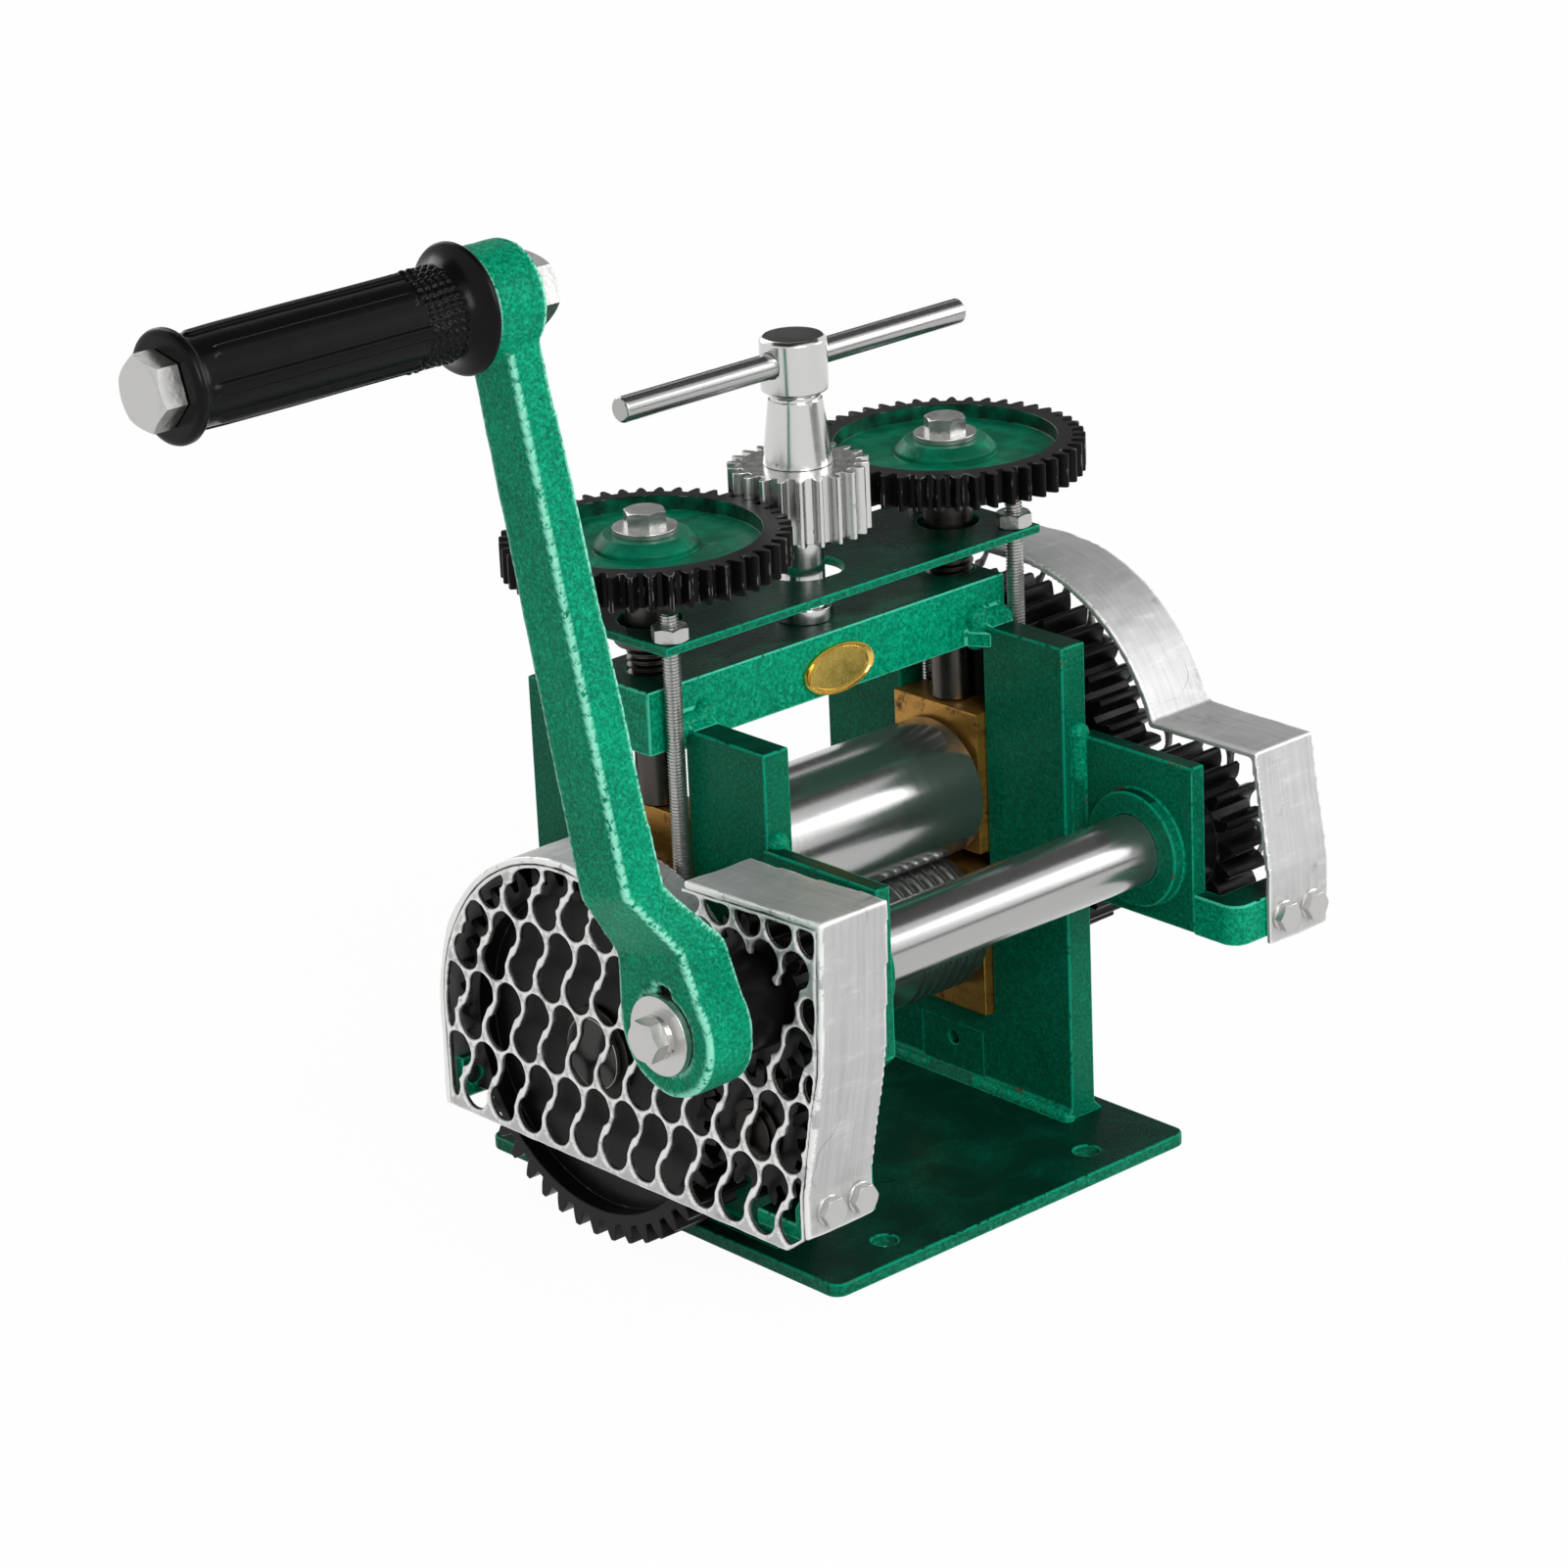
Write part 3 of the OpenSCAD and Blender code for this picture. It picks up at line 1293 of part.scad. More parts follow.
right_screw_washer();
right_screw_bolt();
spindle();
spindle_pinion();
tommy_bar();
spindle_clip();
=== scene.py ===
"""Dresses the packed rolling mill: painted plates, gears, rollers, pierced covers, crank and grip."""

import json
import math
from functools import partial

import bmesh
import bpy
from mathutils import Matrix, Vector, noise


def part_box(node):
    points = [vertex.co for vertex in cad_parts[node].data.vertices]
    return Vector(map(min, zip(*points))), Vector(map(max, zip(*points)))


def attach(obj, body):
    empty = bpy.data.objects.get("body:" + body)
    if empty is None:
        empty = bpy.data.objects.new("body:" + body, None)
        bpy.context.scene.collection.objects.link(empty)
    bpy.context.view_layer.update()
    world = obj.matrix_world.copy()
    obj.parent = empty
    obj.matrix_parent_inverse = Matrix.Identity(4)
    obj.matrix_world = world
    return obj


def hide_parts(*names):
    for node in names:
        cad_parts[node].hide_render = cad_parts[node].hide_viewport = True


bl_info = {
    "name": "Rolling mill dresser",
    "version": (1, 0, 0),
    "blender": (4, 5, 0),
    "location": "View3D > Sidebar > Rolling mill",
    "description": "Finishes the pieces of a hand cranked rolling mill",
    "category": "Object",
}

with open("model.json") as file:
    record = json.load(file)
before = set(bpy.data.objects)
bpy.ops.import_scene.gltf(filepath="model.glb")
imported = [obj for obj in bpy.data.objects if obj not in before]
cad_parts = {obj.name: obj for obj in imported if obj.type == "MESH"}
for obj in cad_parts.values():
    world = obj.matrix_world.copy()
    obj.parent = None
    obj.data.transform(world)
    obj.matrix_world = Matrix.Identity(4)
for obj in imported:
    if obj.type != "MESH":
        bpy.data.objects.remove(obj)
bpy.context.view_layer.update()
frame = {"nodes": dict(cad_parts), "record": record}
MM = 0.001
FULL_TURN = 2 * math.pi
MERGE = 2e-6
X_AXIS = Vector((1, 0, 0))
Y_AXIS = Vector((0, 1, 0))
Z_AXIS = Vector((0, 0, 1))
WHITE = (1, 1, 1, 1)
OIL = (0.012, 0.011, 0.010, 1)
SOCKET_KINDS = {1: "NodeSocketFloat", 3: "NodeSocketVector", 4: "NodeSocketColor"}


def length(label, text, value, low=0.0, high=1.0):
    """A size in metres that the sidebar shows as a length."""
    return bpy.props.FloatProperty(
        name=label, description=text, default=value, min=low, max=high, subtype="DISTANCE",
        unit="LENGTH", precision=5,
    )


def bearing(label, text, degrees):
    """An angle that the sidebar shows in degrees."""
    return bpy.props.FloatProperty(
        name=label, description=text, default=math.radians(degrees), subtype="ANGLE"
    )


def colour(label, text, value):
    """A colour that the sidebar shows as a swatch."""
    return bpy.props.FloatVectorProperty(
        name=label, description=text, default=value, size=3, min=0, max=1, subtype="COLOR"
    )


def count(label, text, value, low, high):
    """A whole number."""
    return bpy.props.IntProperty(name=label, description=text, default=value, min=low, max=high)


def share(label, text, value, high=1.0):
    """A plain factor."""
    return bpy.props.FloatProperty(name=label, description=text, default=value, min=0, max=high)


class MillColours(bpy.types.PropertyGroup):
    """Colours of the mill's finishes."""

    green: colour("Green", "Emerald paint on the frame and crank", (0.0008, 0.335, 0.175))
    green_deep: colour("Deep green", "Darker flecks of the emerald paint", (0.0003, 0.130, 0.066))
    # Painted highlight on the crests of the paint's flecks, and along the edges of the hammered green
    green_glint: colour("Green glint", "Crests and rubbed edges of the paint", (0.055, 0.50, 0.32))
    # Painted highlight along the rounded edges of the cast crank arm, partly rubbed paint
    rubbed_highlight_green: colour("Rubbed highlight green", "Bright corners of the cast pieces", (0.26, 0.74, 0.55))
    # Painted highlight along the edges of the flat plates, partly rubbed paint
    edge_green: colour("Edge green", "Corners of the flat plates", (0.002, 0.255, 0.145))
    # The flat greens are a darker copy of the emerald paint for the shaded plates, as painted shade
    flat_green: colour("Flat green", "Paint on the flat plates", (0.001, 0.165, 0.088))
    flat_deep: colour("Flat deep green", "Darker clouds on the flat plates", (0.0005, 0.080, 0.040))
    # A darker copy of the emerald paint for the base and lifting plate, as painted shade
    plate_green: colour("Plate green", "Paint on the level plates", (0.001, 0.190, 0.104))
    # Oil that is also painted shade and a painted dark reflection on the faces that look up
    oil_and_shade_film: colour("Oil and shade film", "Dark oil over level paint", (0.001, 0.026, 0.015))
    black: colour("Black", "Black on the cast gears", (0.004, 0.004, 0.004))
    rubber: colour("Rubber", "Moulded rubber of the grip", (0.004, 0.004, 0.004))
    sheet: colour("Cover sheet", "Bare sheet of the gear covers", (0.53, 0.53, 0.53))
    steel: colour("Ground steel", "Rollers and drive shaft", (0.42, 0.42, 0.415))
    bright: colour("Bright steel", "Spindle and its pinion", (0.62, 0.62, 0.61))
    dark_steel: colour("Dark steel", "Oily pressure screws", (0.075, 0.068, 0.060))
    zinc: colour("Zinc", "Plated bolts, washers and rods", (0.54, 0.535, 0.52))
    brass: colour("Brass", "Bearing blocks", (0.42, 0.215, 0.040))
    gold: colour("Gold", "Oval badge on the yoke", (0.78, 0.53, 0.13))
    rust: colour("Rust", "Brown of worn edges and washer rims", (0.10, 0.045, 0.018))


class MillEdges(bpy.types.PropertyGroup):
    """How far edges are rounded."""

    plate: length("Plates", "Rounding of the painted plates", 0.45 * MM)
    gear: length("Gears", "Rounding of the gear teeth", 0.16 * MM)
    turned: length("Turned parts", "Rounding of turned and ground parts", 0.22 * MM)
    cast_grain: length("Cast grain", "Grain of the mesh of cast pieces", 0.62 * MM, 0.3 * MM)
    cast_wobble: length("Cast waves", "Height of the waves on cast pieces", 0.13 * MM)
    sheet_grain: length("Sheet grain", "Grain of the mesh of the covers", 0.42 * MM, 0.3 * MM)
    sheet_wobble: length("Sheet waves", "Height of the waves on the cover sheet", 0.28 * MM)


class MillThreads(bpy.types.PropertyGroup):
    """Threads of the screws and rods."""

    screw_radius: length("Screw radius", "Outer radius of the pressure screws", 5.3 * MM)
    screw_pitch: length("Screw pitch", "Pitch of the pressure screws", 1.5 * MM)
    rod_pitch: length("Rod pitch", "Pitch of the lifting rods", 0.7 * MM)
    depth_share: share("Depth", "Thread depth as a share of the pitch", 0.55)
    steps: count("Steps", "Faces round one turn of a thread", 20, 8, 48)


class MillGrip(bpy.types.PropertyGroup):
    """Moulded form of the rubber grip."""

    bars: count("Bars", "Raised bars along the grip", 8, 3, 16)
    bar_width: length("Bar width", "Width of a raised bar", 2.9 * MM)
    bar_height: length("Bar height", "Height of a raised bar", 0.65 * MM)
    dot_rows: count("Dot rows", "Rows of dots by the arm", 5, 0, 12)
    dot_pitch: length("Dot pitch", "Distance between dots", 1.75 * MM)
    dot_height: length("Dot height", "Height of a dot", 0.45 * MM)


class MillBadge(bpy.types.PropertyGroup):
    """Bare oval badge on the front of the yoke."""

    width: length("Width", "Width of the oval", 20.0 * MM)
    height: length("Height", "Height of the oval", 10.8 * MM)
    thickness: length("Thickness", "Height of the rim above the paint", 0.7 * MM)
    aside: length("Aside", "Distance to the right of the middle", -1.3 * MM, -1.0)
    up_share: share("Up", "Height of its middle as a share of the yoke's height", 0.39)


class MillStudio(bpy.types.PropertyGroup):
    """Camera and lamps."""

    picture_width: count("Picture width", "Width of the square picture in pixels", 1601, 100, 8000)
    focal_pixels: share("Focal length", "Focal length in pixels of the picture", 5336.6, 99999)
    azimuth: bearing("Azimuth", "Turn of the camera round the mill", -41.52)
    elevation: bearing("Elevation", "Height angle of the camera", 20.67)
    roll: bearing("Roll", "Roll of the camera", -2.60)
    distance: length("Distance", "Distance of the camera", 1.1279, 0.1, 10)
    look_at: bpy.props.FloatVectorProperty(
        name="Look at", description="Point that the camera looks at", default=(0, 0.0153, 0.070),
        subtype="XYZ",
    )
    slide: bpy.props.FloatVectorProperty(
        name="Slide", description="Shift of the camera to the right and up",
        default=(0.00221, 0.00973), size=2,
    )
    key_power: share("Key", "Power of the key lamp in watts", 15.0, 500)
    fill_power: share("Fill", "Power of the fill lamp in watts", 7.0, 500)
    back_power: share("Back", "Power of the lamp behind", 6.0, 500)
    sky_level: share("Sky", "Strength of the even light", 0.42, 5)


SETTINGS = {
    "mill_colours": MillColours,
    "mill_edges": MillEdges,
    "mill_threads": MillThreads,
    "mill_grip": MillGrip,
    "mill_badge": MillBadge,
    "mill_studio": MillStudio,
}


# Shader helpers


def add_node(tree, kind, inputs=None, **settings):
    """Adds a node, sets its fields and fills or links its sockets."""
    node = tree.nodes.new(kind)
    for field, value in settings.items():
        setattr(node, field, value)
    for key, value in (inputs or {}).items():
        if isinstance(value, bpy.types.NodeSocket):
            tree.links.new(value, node.inputs[key])
        else:
            node.inputs[key].default_value = value
    return node


def math_node(tree, operation, first, second=0.0, clamp=False):
    """Result socket of one Math node."""
    node = add_node(tree, "ShaderNodeMath", {0: first, 1: second}, operation=operation, use_clamp=clamp)
    return node.outputs[0]


def times(tree, first, second):
    """Result socket of a product."""
    return math_node(tree, "MULTIPLY", first, second)


def plus(tree, first, second):
    """Result socket of a sum."""
    return math_node(tree, "ADD", first, second)


def minus(tree, first, second):
    """Result socket of a difference."""
    return math_node(tree, "SUBTRACT", first, second)


def vector_math(tree, operation, first, second=(0, 0, 0)):
    """Result socket of one Vector Math node."""
    node = add_node(tree, "ShaderNodeVectorMath", {0: first, 1: second}, operation=operation)
    return node.outputs["Value" if operation == "LENGTH" else "Vector"]


def mix_colours(tree, factor, first, second):
    """Result socket of a colour mix."""
    node = add_node(tree, "ShaderNodeMix", {0: factor, 6: first, 7: second}, data_type="RGBA")
    return node.outputs[2]


def ramp(tree, value, low, high, to_low=0.0, to_high=1.0):
    """Result socket of a clamped, smoothed Map Range."""
    sockets = {"Value": value, "From Min": low, "From Max": high, "To Min": to_low, "To Max": to_high}
    return add_node(tree, "ShaderNodeMapRange", sockets, interpolation_type="SMOOTHSTEP").outputs[0]


def noise_field(tree, vector, scale, detail=2.0, roughness=0.5, distortion=0.0):
    """Factor socket of a noise texture."""
    sockets = {
        "Vector": vector, "Scale": scale, "Detail": detail, "Roughness": roughness,
        "Distortion": distortion,
    }
    return add_node(tree, "ShaderNodeTexNoise", sockets).outputs[0]


def attribute(tree, name):
    """Factor socket of one of the piece's own marks."""
    return add_node(tree, "ShaderNodeAttribute", attribute_name=name).outputs["Fac"]


def new_group(name, inputs, outputs):
    """A shader group on a vector, and the sockets that it is given, each of the kind of its value."""
    tree = bpy.data.node_groups.new(name, "ShaderNodeTree")
    tree.interface.new_socket("Vector", in_out="INPUT", socket_type="NodeSocketVector")
    for label, value in inputs.items():
        kind = SOCKET_KINDS[len(value) if isinstance(value, tuple) else 1]
        tree.interface.new_socket(label, in_out="INPUT", socket_type=kind).default_value = value
    for label in outputs:
        kind = "NodeSocketColor" if label == "Color" else "NodeSocketFloat"
        tree.interface.new_socket(label, in_out="OUTPUT", socket_type=kind)
    return tree, tree.nodes.new("NodeGroupInput").outputs


def close_group(tree, **results):
    """Feeds a group's outputs and gives its tree."""
    end = tree.nodes.new("NodeGroupOutput")
    for label, socket in results.items():
        tree.links.new(socket, end.inputs[label])
    return tree


def hammered_paint_group():
    """Two greens in leathery flecks, with a painted highlight of the glint colour on their crests and dark
    pits, and their height.
    """
    tree, given = new_group(
        "Hammered paint",
        {"Flecks": 1400.0, "Light": WHITE, "Deep": WHITE, "Glint": WHITE, "Glints": 0.6},
        ("Color", "Height"),
    )
    place = given["Vector"]
    scale = given["Flecks"]
    flecks = noise_field(tree, place, scale, 2.5, 0.6, 0.5)
    clouds = noise_field(tree, place, times(tree, scale, 0.035), 3.0, 0.6)
    fine = times(tree, ramp(tree, flecks, 0.36, 0.64), 0.75)
    broad = times(tree, ramp(tree, clouds, 0.30, 0.70), 0.25)
    mixed = mix_colours(tree, plus(tree, fine, broad), given["Deep"], given["Light"])
    # Painted highlight: the glint colour is mixed in on the highest crests of the flecks
    crest = times(tree, ramp(tree, flecks, 0.60, 0.74), given["Glints"])
    lit = mix_colours(tree, crest, mixed, given["Glint"])
    pits = ramp(tree, noise_field(tree, place, times(tree, scale, 0.45), 2.0, 0.7), 0.68, 0.75)
    dark = mix_colours(tree, times(tree, pits, 0.6), lit, (0.001, 0.03, 0.014, 1))
    return close_group(tree, Color=dark, Height=minus(tree, flecks, times(tree, pits, 0.5)))


def worn_and_highlighted_edge_group():
    """Lays a second colour in ragged patches along the rounded edges, for rubbed and rusty edges, and on the
    green paints also for a painted highlight.
    """
    tree, given = new_group(
        "Worn and highlighted edges", {"Color": WHITE, "Worn": WHITE, "Scale": 160.0, "Amount": 0.4}, ("Color", "Mask")
    )
    patches = noise_field(tree, given["Vector"], given["Scale"], 4.0, 0.65)
    threshold = minus(tree, 0.78, times(tree, given["Amount"], 0.4))
    rubbed = ramp(tree, patches, threshold, plus(tree, threshold, 0.08))
    mask = times(tree, attribute(tree, "edge"), rubbed)
    return close_group(tree, Color=mix_colours(tree, mask, given["Color"], given["Worn"]), Mask=mask)


def grime_group():
    """Patches of oil and dust over a colour."""
    tree, given = new_group(
        "Grime", {"Color": WHITE, "Dirt": WHITE, "Scale": 60.0, "Amount": 0.4}, ("Color", "Mask")
    )
    broad = noise_field(tree, given["Vector"], given["Scale"], 6.0, 0.62, 0.4)
    fine = noise_field(tree, given["Vector"], times(tree, given["Scale"], 7.0), 3.0, 0.6)
    both = plus(tree, times(tree, broad, 0.7), times(tree, fine, 0.3))
    threshold = minus(tree, 0.72, times(tree, given["Amount"], 0.32))
    mask = ramp(tree, both, threshold, plus(tree, threshold, 0.16))
    return close_group(tree, Color=mix_colours(tree, mask, given["Color"], given["Dirt"]), Mask=mask)


def tool_marks_group():
    """Fine lines left by a lathe, a grinder or a file, drawn out by the stretch of the vector."""
    tree, given = new_group("Tool marks", {"Stretch": (1.0, 1.0, 1.0)}, ("Value",))
    drawn = vector_math(tree, "MULTIPLY", given["Vector"], given["Stretch"])
    return close_group(tree, Value=noise_field(tree, drawn, 1.0, 3.0, 0.7))


GROUP_MAKERS = {
    "Hammered paint": hammered_paint_group,
    "Worn and highlighted edges": worn_and_highlighted_edge_group,
    "Grime": grime_group,
    "Tool marks": tool_marks_group,
}


class Finish:
    """One material under construction: its tree, its Principled shader and its object coordinates."""

    def __init__(self, name, roughness, metallic=0.0, coat=0.0, gloss=0.5):
        self.material = bpy.data.materials.new(name)
        self.material.use_nodes = True
        self.tree = self.material.node_tree
        self.shader = self.tree.nodes["Principled BSDF"]
        self.shader.inputs["Roughness"].default_value = roughness
        self.shader.inputs["Metallic"].default_value = metallic
        self.shader.inputs["Coat Weight"].default_value = coat
        self.shader.inputs["Specular IOR Level"].default_value = gloss
        self.shader.inputs["Coat Roughness"].default_value = 0.12
        self.place = add_node(self.tree, "ShaderNodeTexCoord").outputs["Object"]

    def group(self, name, **inputs):
        """Places a shared group on the object coordinates, making the group the first time."""
        shared = bpy.data.node_groups.get(name) or GROUP_MAKERS[name]()
        return add_node(self.tree, "ShaderNodeGroup", {"Vector": self.place, **inputs}, node_tree=shared)

    def grime(self, colour, dirt, scale, amount):
        """The colour with patches of oil or dust over it."""
        node = self.group("Grime", Color=colour, Dirt=dirt, Scale=scale, Amount=amount)
        return node.outputs["Color"]

    def rub_and_highlight_edges(self, colour, worn, scale, amount):
        """The colour with another one laid along the edges: rubbed and rusty edges, and on the green paints a
        painted highlight too.
        """
        node = self.group("Worn and highlighted edges", Color=colour, Worn=worn, Scale=scale, Amount=amount)
        return node.outputs["Color"]

    def marks(self, *stretch):
        """Tool marks drawn out by the stretch."""
        return self.group("Tool marks", Stretch=stretch).outputs["Value"]

    def noise(self, scale, detail=2.0, roughness=0.5, distortion=0.0):
        """A noise field on the object coordinates."""
        return noise_field(self.tree, self.place, scale, detail, roughness, distortion)

    def paint(self, socket):
        """Feeds the base colour."""
        self.tree.links.new(socket, self.shader.inputs["Base Color"])

    def roughen(self, value, low, high):
        """Feeds the roughness from a mask."""
        sockets = {"Value": value, "To Min": low, "To Max": high}
        spread = add_node(self.tree, "ShaderNodeMapRange", sockets)
        self.tree.links.new(spread.outputs[0], self.shader.inputs["Roughness"])

    def emboss(self, height, strength, distance):
        """Adds a height to what feeds the normal."""
        sockets = {"Height": height, "Strength": strength, "Distance": distance}
        previous = self.shader.inputs["Normal"].links
        if previous:
            sockets["Normal"] = previous[0].from_socket
        bump = add_node(self.tree, "ShaderNodeBump", sockets)
        self.tree.links.new(bump.outputs[0], self.shader.inputs["Normal"])


def tone(name):
    """One of the scene's colours, with full alpha."""
    return (*getattr(bpy.context.scene.mill_colours, name), 1.0)


def green_paint(name, light, deep, pale, rust, coat, flecks, rough, skin, glints):
    """Emerald hammered paint, oily and darkened as painted shade where it lies level, with a painted
    highlight and rusty worn patches along its edges.
    """
    finish = Finish(name, rough, coat=coat, gloss=0.05)
    tree = finish.tree
    paint = finish.group(
        "Hammered paint", Flecks=flecks, Light=tone(light), Deep=tone(deep), Glint=tone("green_glint"),
        Glints=glints,
    )
    height = paint.outputs["Height"]
    grime = finish.grime(paint.outputs["Color"], (0.002, 0.05, 0.026, 1), 48.0, 0.24)
    # The faces that look up are darkened in patches: oil, and painted shade with a painted dark reflection
    oil_and_shade_patches = ramp(tree, finish.noise(60.0, 4.0, 0.6, 0.6), 0.25, 0.60, 0.70, 1.0)
    oily = mix_colours(tree, times(tree, attribute(tree, "level"), oil_and_shade_patches), grime, tone("oil_and_shade_film"))
    # Painted highlight: the pale colour is laid along the rounded edges, partly rubbed paint; rust follows
    edge_highlights = finish.rub_and_highlight_edges(oily, tone(pale), 620.0, 1.0)
    finish.paint(finish.rub_and_highlight_edges(edge_highlights, tone("rust"), 150.0, rust))
    spread = plus(tree, times(tree, height, 0.5), finish.noise(70.0, 3.0))
    finish.roughen(spread, rough - 0.08, rough + 0.12)
    finish.emboss(height, 0.55, skin)
    finish.emboss(finish.noise(130.0, 3.0, 0.6), 0.30, 0.30 * MM)
    return finish.material


def black_cast():
    """Oily black on the roller gears and pinions."""
    finish = Finish("Oily black iron", 0.28, gloss=0.14)
    grime = finish.grime(tone("black"), (0.012, 0.009, 0.007, 1), 90.0, 0.24)
    finish.paint(finish.rub_and_highlight_edges(grime, (0.07, 0.066, 0.062, 1), 220.0, 0.5))
    finish.roughen(finish.noise(140.0, 4.0, 0.6), 0.16, 0.52)
    finish.emboss(finish.noise(420.0, 3.0, 0.6), 0.35, 0.12 * MM)
    return finish.material


def screw_gear_finish(name, centre, web_radius):
    """Black teeth and rim with a green painted web and hub."""
    finish = Finish(name, 0.30, gloss=0.10)
    tree = finish.tree
    shift = {"Vector": finish.place, "Location": (-centre.x, -centre.y, 0)}
    level = vector_math(tree, "MULTIPLY", add_node(tree, "ShaderNodeMapping", shift).outputs[0], (1, 1, 0))
    ragged = plus(tree, vector_math(tree, "LENGTH", level), times(tree, finish.noise(260.0, 3.0), 0.5 * MM))
    web = ramp(tree, ragged, web_radius + 0.05 * MM, web_radius + 0.45 * MM, 1.0, 0.0)
    # The web's flecks take a painted highlight of the emerald on their crests
    paint = finish.group(
        "Hammered paint", Flecks=160.0, Light=tone("flat_green"), Deep=tone("flat_deep"),
        Glint=tone("green"), Glints=0.5,
    )
    grime = finish.grime(tone("black"), (0.05, 0.042, 0.036, 1), 110.0, 0.34)
    worn = finish.rub_and_highlight_edges(grime, (0.12, 0.11, 0.10, 1), 240.0, 0.6)
    streaks = finish.grime(paint.outputs["Color"], (0.14, 0.25, 0.21, 1), 85.0, 0.36)
    finish.paint(mix_colours(tree, web, worn, streaks))
    finish.roughen(finish.noise(120.0, 4.0, 0.6), 0.20, 0.50)
    finish.emboss(finish.noise(300.0, 3.0, 0.6), 0.30, 0.14 * MM)
    return finish.material


def cover_sheet():
    """Bare rough aluminium of the gear covers, brushed, scratched, stained and dented, nearly black on the
    walls of its holes.
    """
    finish = Finish("Bare cover sheet", 0.45, metallic=0.80)
    tree = finish.tree
    marks = finish.marks(900.0, 60.0, 34.0)
    strokes = finish.marks(90.0, 420.0, 300.0)
    grime = finish.grime(tone("sheet"), (0.30, 0.295, 0.285, 1), 70.0, 0.46)
    pits = finish.grime(grime, (0.10, 0.09, 0.08, 1), 380.0, 0.14)
    brushed = mix_colours(tree, ramp(tree, marks, 0.35, 0.75, 0.0, 0.30), pits, (0.27, 0.27, 0.265, 1))
    light = ramp(tree, strokes, 0.52, 0.75, 0.0, 0.40)
    streaked = mix_colours(tree, light, brushed, (0.72, 0.72, 0.71, 1))
    worn = finish.rub_and_highlight_edges(streaked, (0.86, 0.86, 0.85, 1), 190.0, 1.1)
    drift = add_node(tree, "ShaderNodeTexNoise", {"Vector": finish.place, "Scale": 38.0, "Detail": 2.0})
    push = vector_math(tree, "MULTIPLY", drift.outputs["Color"], (0.03, 0.03, 0.03))
    wavy = vector_math(tree, "ADD", finish.place, push)
    cells = add_node(
        tree, "ShaderNodeTexVoronoi", {"Vector": wavy, "Scale": 46.0}, feature="DISTANCE_TO_EDGE"
    )
    lines = ramp(tree, cells.outputs["Distance"], 0.0, 0.012, 1.0, 0.0)
    sparse = times(tree, lines, ramp(tree, finish.noise(31.0, 2.0), 0.52, 0.66))
    scratched = mix_colours(tree, times(tree, sparse, 0.6), worn, (0.14, 0.13, 0.12, 1))
    # The walls of the holes go nearly black in patches
    wall_patches = ramp(tree, finish.noise(240.0, 3.0), 0.25, 0.55, 0.55, 0.97)
    stain = times(tree, attribute(tree, "wall"), wall_patches)
    finish.paint(mix_colours(tree, stain, scratched, (0.030, 0.027, 0.024, 1)))
    finish.roughen(finish.noise(55.0, 5.0, 0.65), 0.42, 0.70)
    finish.emboss(marks, 0.20, 0.06 * MM)
    finish.emboss(strokes, 0.30, 0.10 * MM)
    finish.emboss(finish.noise(170.0, 5.0, 0.65), 0.35, 0.20 * MM)
    return finish.material


def ground_steel(name, base, rough, stretch, dirt, metallic=1.0, scored=0.16):
    """Turned or ground steel with fine lines across the stretch, traces of oil and oily ends."""
    finish = Finish(name, rough, metallic=metallic)
    tree = finish.tree
    marks = finish.marks(*stretch)
    grime = finish.grime(tone(base), (0.10, 0.085, 0.07, 1), 85.0, dirt)
    worn = finish.rub_and_highlight_edges(grime, (0.20, 0.15, 0.11, 1), 210.0, 0.3)
    finish.paint(mix_colours(tree, times(tree, attribute(tree, "wall"), 0.93), worn, OIL))
    finish.roughen(marks, rough * 0.6, rough * 1.5)
    finish.emboss(marks, scored, 0.02 * MM)
    return finish.material


def zinc_plate():
    """Dull zinc on bolts, washers and rods."""
    finish = Finish("Dull zinc", 0.33, metallic=1.0)
    grime = finish.grime(tone("zinc"), (0.20, 0.18, 0.15, 1), 170.0, 0.36)
    finish.paint(finish.rub_and_highlight_edges(grime, tone("rust"), 300.0, 0.42))
    finish.roughen(finish.noise(320.0, 4.0, 0.6), 0.20, 0.44)
    finish.emboss(finish.noise(260.0, 3.0, 0.6), 0.60, 0.30 * MM)
    finish.emboss(finish.noise(900.0, 2.0), 0.25, 0.05 * MM)
    return finish.material


def block_brass():
    """Golden brown bearing blocks with dark oil stains."""
    finish = Finish("Stained brass", 0.42, metallic=0.75)
    marks = finish.marks(60.0, 260.0, 700.0)
    grime = finish.group(
        "Grime", Color=tone("brass"), Dirt=(0.060, 0.022, 0.005, 1), Scale=130.0, Amount=0.66
    )
    streak = ramp(finish.tree, marks, 0.45, 0.8, 0.0, 0.6)
    finish.paint(mix_colours(finish.tree, streak, grime.outputs["Color"], (0.10, 0.045, 0.012, 1)))
    finish.roughen(grime.outputs["Mask"], 0.32, 0.62)
    finish.emboss(marks, 0.35, 0.08 * MM)
    return finish.material


def badge_gold():
    """Pressed golden plate."""
    finish = Finish("Pressed gold", 0.24, metallic=1.0)
    finish.paint(finish.grime(tone("gold"), (0.30, 0.16, 0.03, 1), 260.0, 0.30))
    finish.roughen(finish.noise(500.0, 3.0), 0.16, 0.36)
    finish.emboss(finish.noise(1500.0, 2.0), 0.30, 0.06 * MM)
    return finish.material


def grip_rubber():
    """Glossy black rubber with a faint mould texture."""
    finish = Finish("Moulded rubber", 0.24, gloss=0.10)
    finish.paint(finish.grime(tone("rubber"), (0.014, 0.0135, 0.013, 1), 60.0, 0.34))
    finish.roughen(finish.noise(240.0, 3.0, 0.6), 0.18, 0.34)
    finish.emboss(finish.noise(1600.0, 2.0), 0.20, 0.03 * MM)
    return finish.material


